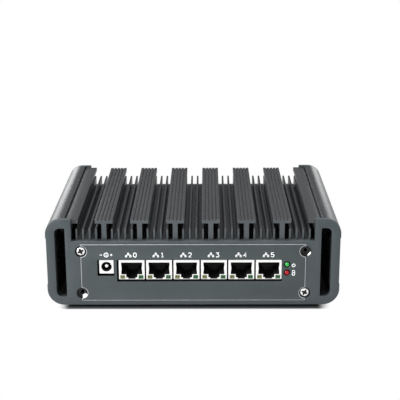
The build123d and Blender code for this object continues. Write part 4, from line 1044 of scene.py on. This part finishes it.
coverLook = {"corner": 0.6, "edge": 0.25, "bracket": 37.5, "bracketHole": 1.65, "bracketEdge": 0.2,
             "boss": 3.6, "bossHeight": 3.0, "screwX": 69.6, "screwY": 40.0, "screwTop": 2.8,
             "screwClear": 1.7, "ventWidth": 2.0, "ventLength": 16.0, "ventEdge": 0.15,
             "ventPitch": 5.0, "vents": 9, "ventRow": 14.0}
coverScrewLook = {"head": 2.6, "proud": 0.12, "reach": 1.5, "shank": 1.2, "length": 7.4, "cone": 1.9}
footLook = {"x": 60, "y": 50, "profile": [(1.4, 2.4), (6.0, 2.4), (5.95, 2.1), (5.35, 0.4), (5.25, 0.12),
                                          (5.0, 0.0), (3.2, 0.0), (3.0, 0.06), (1.4, 0.1)]}


def fourCorners(x, y):
    # The four mirror images of a spot.
    return [(sx * x, sy * y) for sx in (-1, 1) for sy in (-1, 1)]


def coverPart():
    # A sheet with four bracket holes, four countersinks and two rows of slots with round ends,
    # and a round boss over each bracket hole.
    look = coverLook
    lo, hi = boxOf("bottom_cover")
    z0, z1 = lo[2], lo[2] + sideLook["coverThickness"]
    brackets = fourCorners(look["bracket"], look["bracket"])
    outer = boxLevels(rectangle(lo[0], hi[0], lo[1], hi[1]), look["corner"], edged(z0, z1, look["edge"]))
    holes = []
    for (bx, by), (x, y) in zip(brackets, fourCorners(look["screwX"], look["screwY"])):
        holes.append(circleLevels(bx, by, look["bracketHole"], edged(z0, z1, look["bracketEdge"]), 40))
        holes.append([(z0, circle(x, y, look["screwTop"], 40)),
                      (z1, circle(x, y, look["screwClear"], 40))])
    w, h = look["ventWidth"] / 2, look["ventLength"] / 2
    for row in (-look["ventRow"], look["ventRow"]):
        for k in range(look["vents"]):
            x = (k - (look["vents"] - 1) / 2) * look["ventPitch"]
            slot = rectangle(x - w, x + w, row - h, row + h)
            holes.append(boxLevels(slot, w * 0.999, edged(z0, z1, look["ventEdge"]), True, 7))
    parts = [prism(outer, holes, axis="z")]
    for x, y in brackets:
        levels = [(z1, 0), (z1 + look["bossHeight"], 0)]
        boss, bore = (circleLevels(x, y, look[size], levels, 40) for size in ("boss", "bracketHole"))
        parts.append(prism(boss, [bore], axis="z"))
    return joined(parts)


def coverScrewPart():
    # A flat head with a cross, over a cone that narrows to the shank.
    look = coverScrewLook
    head = screwHead(look["head"], look["proud"], look["reach"], 0)
    cone = [(look["head"], 0), (look["head"] - 1, 0.05 - look["cone"]), (look["shank"], -look["cone"])]
    stem = shank(look["shank"], look["length"], -look["cone"])
    return joined([head, lathe(cone, (0, 0, 0), count=40), stem])


addPiece("bottomCover", coverPart(), ["cover_sheet"], "bottom_cover")
coverScrews = []
for k, (x, y) in enumerate(fourCorners(coverLook["screwX"], coverLook["screwY"])):
    screw = spun(coverScrewPart(), 20 + 37 * k)
    coverScrews.append(placed(screw, (x, y, base + coverScrewLook["proud"]), "down"))
addPiece("coverScrews", joined(coverScrews), ["black_screw", "painted_recess_shade"], "cover_screws")
feet = [lathe(footLook["profile"], (x, y, 0), count=72)
        for x, y in fourCorners(footLook["x"], footLook["y"])]
addPiece("rubberFeet", joined(feet), ["foot_rubber"], "rubber_feet")
print("underside: cover, screws and feet")


# Printed marks: plain numbers and common symbols

markLook = {"stroke": 0.42, "height": 2.7, "labelTop": 37.0, "proud": 0.02, "digitWidth": 1.7,
            "digitX": 1.35, "networkX": -1.9, "networkStroke": 0.75, "squareHalf": 0.4,
            "squareX": 1.35, "squareLow": 0.45, "squareHigh": 2.25, "branch": 1.35, "stemGap": 0.45,
            "powerRing": 0.95, "powerLow": 0.2, "powerHigh": 1.25,
            "poleRing": 1.3, "poleNear": 2.5, "poleFar": 3.9, "poleStroke": 1.1,
            "pinHalf": 0.3, "pinStroke": 0.6, "lampSignX": 4.0, "powerDrop": 0.5, "drumDrop": 0.1,
            "drum": 0.8, "drumHigh": 0.8, "drumLow": -0.9,
            "rearPowerUp": 7.0, "rearNumberUp": 5.6}
digitStrokes = {
    0: [[(0.25, 0), (0.75, 0), (1, 0.2), (1, 0.8), (0.75, 1), (0.25, 1), (0, 0.8), (0, 0.2), (0.25, 0)]],
    1: [[(0.15, 0.8), (0.5, 1), (0.5, 0)], [(0.15, 0), (0.85, 0)]],
    2: [[(0, 0.8), (0.2, 1), (0.8, 1), (1, 0.8), (1, 0.6), (0, 0), (1, 0)]],
    3: [[(0, 1), (1, 1), (0.45, 0.6), (0.8, 0.58), (1, 0.4), (1, 0.18), (0.8, 0), (0.2, 0), (0, 0.15)]],
    4: [[(0.75, 0), (0.75, 1), (0, 0.3), (1, 0.3)]],
    5: [[(1, 1), (0.08, 1), (0, 0.55), (0.7, 0.6), (1, 0.4), (1, 0.18), (0.75, 0), (0.2, 0), (0, 0.15)]],
}


def ribbon(points, width):
    # A stroke as one flat strip: both edges run half the width away from the line, and at each
    # corner along (n1 + n2) / (1 + n1 . n2), so neighbouring quads share the mitre.
    p = np.asarray(points, float)
    closed = np.allclose(p[0], p[-1])
    side = unit(p[1:] - p[:-1])
    normal = np.stack([-side[:, 1], side[:, 0]], 1)
    before = np.concatenate([normal[-1:] if closed else normal[:1], normal])
    after = np.concatenate([normal, normal[:1] if closed else normal[-1:]])
    mitre = (before + after) / np.maximum(1 + (before * after).sum(1, keepdims=True), 0.5) * width / 2
    edges = np.stack([p - mitre, p + mitre], 1).reshape(-1, 2)
    start = 2 * np.arange(len(p) - 1)[:, None]
    return edges, (start + [0, 2, 3, 1]).tolist()


def arc(x, z, radius, start=0, end=360, count=30):
    # Points at even angles from start to end, in degrees.
    a = np.radians(np.linspace(start, end, count))
    return np.stack([x + radius * np.cos(a), z + radius * np.sin(a)], 1)


def addMarks(name, strokes, atRear=False):
    # Flat ribbons laid just proud of the front face, or turned half round to the rear one.
    vertices, faces, offset = [], [], 0
    for points, width in strokes:
        flat, quads = ribbon(points, width)
        depth = np.full(len(flat), faceY - markLook["proud"])
        vertices.append(np.stack([flat[:, 0], depth, flat[:, 1]], 1))
        faces += [[i + offset for i in quad] for quad in quads]
        offset += len(flat)
    vertices = np.concatenate(vertices) * ([-1, -1, 1] if atRear else [1, 1, 1])
    mesh = bpy.data.meshes.new(name)
    mesh.from_pydata((vertices * mm).tolist(), [], faces)
    mesh.materials.append(finish["white_print"])
    piece = bpy.data.objects.new(name, mesh)
    bpy.context.scene.collection.objects.link(piece)
    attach(piece, "chassis")


def digit(number, x, low):
    # A number's strokes, drawn on a unit square, scaled to its size and moved.
    look = markLook
    size = (look["digitWidth"], look["height"])
    return [(np.array(stroke) * size + (x, low), look["stroke"]) for stroke in digitStrokes[number]]


def networkMark(x, low):
    # Three small squares joined by lines, the common sign for a wired network.
    look = markLook
    w = look["stroke"] * look["networkStroke"]
    s, out, branch = look["squareHalf"], look["squareX"], low + look["branch"]
    topMiddle, lowMiddle = low + look["squareHigh"], low + look["squareLow"]
    strokes = []
    for cx, cz in ((x, topMiddle), (x - out, lowMiddle), (x + out, lowMiddle)):
        corners = rectangle(cx - s, cx + s, cz - s, cz + s)
        strokes.append((corners + corners[:1], w))
    stem, foot = topMiddle - look["stemGap"], lowMiddle + look["stemGap"]
    return strokes + [([(x, stem), (x, branch)], w),
                      ([(x - out, foot), (x - out, branch), (x + out, branch), (x + out, foot)], w)]


def powerMark(x, z):
    # A ring open at the top with a stroke in the gap.
    look = markLook
    return [(arc(x, z, look["powerRing"], 135, 405), look["stroke"]),
            ([(x, z + look["powerLow"]), (x, z + look["powerHigh"])], look["stroke"])]


def poleMark(x, z):
    # Which pole is which: minus on the ring, plus on the pin.
    look = markLook
    near, far, w = look["poleNear"], look["poleFar"], look["stroke"] * look["poleStroke"]
    middle, h = x + (near + far) / 2, (far - near) / 2
    return [(arc(x, z, look["poleRing"]), look["stroke"]),
            ([(x - look["pinHalf"], z), (x + look["pinHalf"], z)], look["pinStroke"]),
            ([(x - far, z), (x - near, z)], w), ([(x + near, z), (x + far, z)], w),
            ([(middle, z - h), (middle, z + h)], w)]


def drumMark(x, z):
    # A store drawn as a drum: a ring over a half ring, joined by two sides.
    look = markLook
    r, w, high, low = look["drum"], look["stroke"], z + look["drumHigh"], z + look["drumLow"]
    return [(arc(x, high, r), w), (arc(x, low, r, 180, 360), w),
            ([(x - r, high), (x - r, low)], w), ([(x + r, high), (x + r, low)], w)]


labelLow = markLook["labelTop"] - markLook["height"]
marks = []
for number, (lo, hi) in enumerate(jacks):
    x = (lo[0] + hi[0]) / 2
    marks += networkMark(x + markLook["networkX"], labelLow)
    marks += digit(number, x + markLook["digitX"], labelLow)
marks += poleMark(powerX, labelLow + markLook["height"] / 2)
signX = lampSpots[0][0] + markLook["lampSignX"]
marks += powerMark(signX, lampSpots[0][2] - markLook["powerDrop"])
marks += drumMark(signX, lampSpots[1][2] - markLook["drumDrop"])
addMarks("frontMarks", marks)
# At the rear: the power sign over the button, and the two aerials' numbers.
rearMarks = powerMark(-buttonX, buttonZ + markLook["rearPowerUp"])
for number, x in zip((1, 2), sorted(-x for x in plugXs)):
    rearMarks += digit(number, x - markLook["digitWidth"] / 2, plugZ + markLook["rearNumberUp"])
addMarks("rearMarks", rearMarks, atRear=True)
print("marks: numbers and symbols")


# Floor, light and camera. The floor, the card and the lamps are placed in metres.

# The dark colour below is a painted shadow on the floor close under the body.
stageLook = {"floorHalf": 4.0, "floorColour": (0.9, 0.9, 0.9), "paintedShadowColour": (0.09, 0.095, 0.1),
             "shadowReach": 0.0032, "endPull": 3.0, "endEase": 0.35, "world": 0.31,
             "cardColour": (0.17, 0.17, 0.17), "cardX": 0.37, "cardY": 1.4, "cardLow": 0.02,
             "cardHigh": 1.8}


def addStage(name, corners):
    # One quad through the four corners, as a part of the stage.
    mesh = bpy.data.meshes.new(name)
    mesh.from_pydata(corners, [], [[0, 1, 2, 3]])
    quad = bpy.data.objects.new(name, mesh)
    bpy.context.scene.collection.objects.link(quad)
    return quad


def whiteRays(tree):
    # 1 for the camera's, mirrored and passed-on rays, and 0 for the ones that light the object.
    rays = newNode(tree, "LightPath")
    seen = newNode(tree, "Math", operation="MAXIMUM")
    also = newNode(tree, "Math", operation="MAXIMUM")
    tree.links.new(rays.outputs["Is Camera Ray"], seen.inputs[0])
    tree.links.new(rays.outputs["Is Glossy Ray"], seen.inputs[1])
    tree.links.new(seen.outputs[0], also.inputs[0])
    tree.links.new(rays.outputs["Is Transmission Ray"], also.inputs[1])
    return also.outputs[0]


def makeFloor():
    look = stageLook
    half = look["floorHalf"]
    floor = addStage("floor", [(-half, -half, 0), (half, -half, 0), (half, half, 0), (-half, half, 0)])
    material = bpy.data.materials.new("paleFloor")
    material.use_nodes = True
    tree = material.node_tree
    link = tree.links.new
    tree.nodes.clear()
    out = newNode(tree, "OutputMaterial")
    pale = newNode(tree, "BsdfDiffuse")
    white = newNode(tree, "Emission", {"Color": (1, 1, 1, 1)})
    mix = newNode(tree, "MixShader")
    # How far a floor point lies outside the body's flat underside, length(max(|xy| - half size, 0)),
    # with the distance past the two ends counted less, so that the shadow fades out there.
    place = newNode(tree, "TexCoord")
    away = newNode(tree, "VectorMath", operation="ABSOLUTE")
    flatHalf = ((bodyHalf - bodyLook["heel"] - look["endPull"]) * mm, -faceY * mm, 0)
    beyond = newNode(tree, "VectorMath", {1: flatHalf}, operation="SUBTRACT")
    outside = newNode(tree, "VectorMath", {1: (0, 0, 0)}, operation="MAXIMUM")
    eased = newNode(tree, "VectorMath", {1: (look["endEase"], 1, 1)}, operation="MULTIPLY")
    distance = newNode(tree, "VectorMath", operation="LENGTH")
    fade = newNode(tree, "MapRange", {"From Max": look["shadowReach"]}, interpolation_type="SMOOTHSTEP")
    share = newNode(tree, "Math", operation="MULTIPLY")
    link(place.outputs["Object"], away.inputs[0])
    link(away.outputs[0], beyond.inputs[0])
    link(beyond.outputs[0], outside.inputs[0])
    link(outside.outputs[0], eased.inputs[0])
    link(eased.outputs[0], distance.inputs[0])
    link(distance.outputs["Value"], fade.inputs["Value"])
    link(fade.outputs["Result"], share.inputs[0])
    link(whiteRays(tree), share.inputs[1])
    link(share.outputs[0], mix.inputs[0])
    link(pale.outputs[0], mix.inputs[1])
    link(white.outputs[0], mix.inputs[2])
    link(mix.outputs[0], out.inputs["Surface"])
    # Close under the body the floor's colour is dark, a painted shadow, and it is pale from the body's
    # edge outwards.
    tone = newNode(tree, "Mix", data_type="RGBA")
    tone.inputs["A"].default_value = (*look["paintedShadowColour"], 1)
    tone.inputs["B"].default_value = (*look["floorColour"], 1)
    link(fade.outputs["Result"], tone.inputs["Factor"])
    link(tone.outputs["Result"], pale.inputs["Color"])
    floor.data.materials.append(material)


def makeCard():
    # A dark card behind the object, out of the camera's sight, that the top faces mirror.
    look = stageLook
    x, y, low, high = (look[key] for key in ("cardX", "cardY", "cardLow", "cardHigh"))
    card = addStage("card", [(-x, y, low), (x, y, low), (x, y, high), (-x, y, high)])
    grey = bpy.data.materials.new("greyCard")
    grey.use_nodes = True
    shader = grey.node_tree.nodes["Principled BSDF"]
    shader.inputs["Base Color"].default_value = (*look["cardColour"], 1)
    shader.inputs["Roughness"].default_value = 0.9
    card.data.materials.append(grey)
    card.visible_camera = False
    card.visible_diffuse = False
    card.visible_shadow = False


def makeWorld():
    # White to the camera and in reflections, and lower as fill light.
    world = bpy.data.worlds.new("studio")
    world.use_nodes = True
    tree = world.node_tree
    shade = tree.nodes["Background"]
    shade.inputs["Color"].default_value = (1, 1, 1, 1)
    level = newNode(tree, "MapRange", {"To Min": stageLook["world"], "To Max": 1.0})
    tree.links.new(whiteRays(tree), level.inputs["Value"])
    tree.links.new(level.outputs["Result"], shade.inputs["Strength"])
    bpy.context.scene.world = world


lightLook = {
    "keyLight": {"power": 9.0, "spot": (-0.62, -0.45, 0.4), "aim": (-0.07, 0, 0.03), "size": (0.4, 0.3)},
    "overhead": {"power": 27, "spot": (0, 0.1, 1.6), "aim": (0, 0, 0.03), "size": (1.2, 1.0)},
    "leftStrip": {"power": 1.5, "spot": (-0.55, 1.5, 0.2), "aim": (-0.085, 0, 0.05),
                  "size": (0.34, 0.36)},
    "rightStrip": {"power": 1.12, "spot": (0.47, 1.5, 0.2), "aim": (0.085, 0, 0.05),
                   "size": (0.34, 0.36)},
}


def makeLights():
    # Each lamp is a rectangle that looks from its spot at its aim.
    for name, look in lightLook.items():
        light = bpy.data.lights.new(name, "AREA")
        light.shape = "RECTANGLE"
        light.size, light.size_y = look["size"]
        light.energy = look["power"]
        lamp = bpy.data.objects.new(name, light)
        bpy.context.scene.collection.objects.link(lamp)
        spot = Vector(look["spot"])
        lamp.location = spot
        lamp.rotation_euler = (Vector(look["aim"]) - spot).to_track_quat("-Z", "Y").to_euler()
        lamp.visible_camera = False


cameraLook = {"target": (4.396, -63.0, 71.2), "distance": 639.0, "elevation": 17.25, "yaw": -0.37,
              "roll": -0.2319, "lens": 94.51}


def makeCamera():
    # The camera looks along (sin yaw cos e, cos yaw cos e, -sin e) at the target, rolled about it.
    look = cameraLook
    elevation, yaw, roll = (math.radians(look[key]) for key in ("elevation", "yaw", "roll"))
    ahead = Vector((math.sin(yaw) * math.cos(elevation), math.cos(yaw) * math.cos(elevation),
                    -math.sin(elevation)))
    right = Vector((math.cos(yaw), -math.sin(yaw), 0))
    up = right.cross(ahead)
    tiltedRight = math.cos(roll) * right + math.sin(roll) * up
    tiltedUp = -math.sin(roll) * right + math.cos(roll) * up
    data = bpy.data.cameras.new("camera")
    data.lens, data.sensor_width = look["lens"], 36
    data.clip_start, data.clip_end = 0.02, 50
    camera = bpy.data.objects.new("camera", data)
    bpy.context.scene.collection.objects.link(camera)
    place = (Vector(look["target"]) - look["distance"] * ahead) * mm
    turn = Matrix((tiltedRight, tiltedUp, -ahead)).transposed().to_4x4()
    camera.matrix_world = Matrix.Translation(place) @ turn
    bpy.context.scene.camera = camera


makeFloor()
makeCard()
makeWorld()
makeLights()
makeCamera()
bpy.context.scene.view_settings.view_transform = "Standard"
print("stage, light and camera")
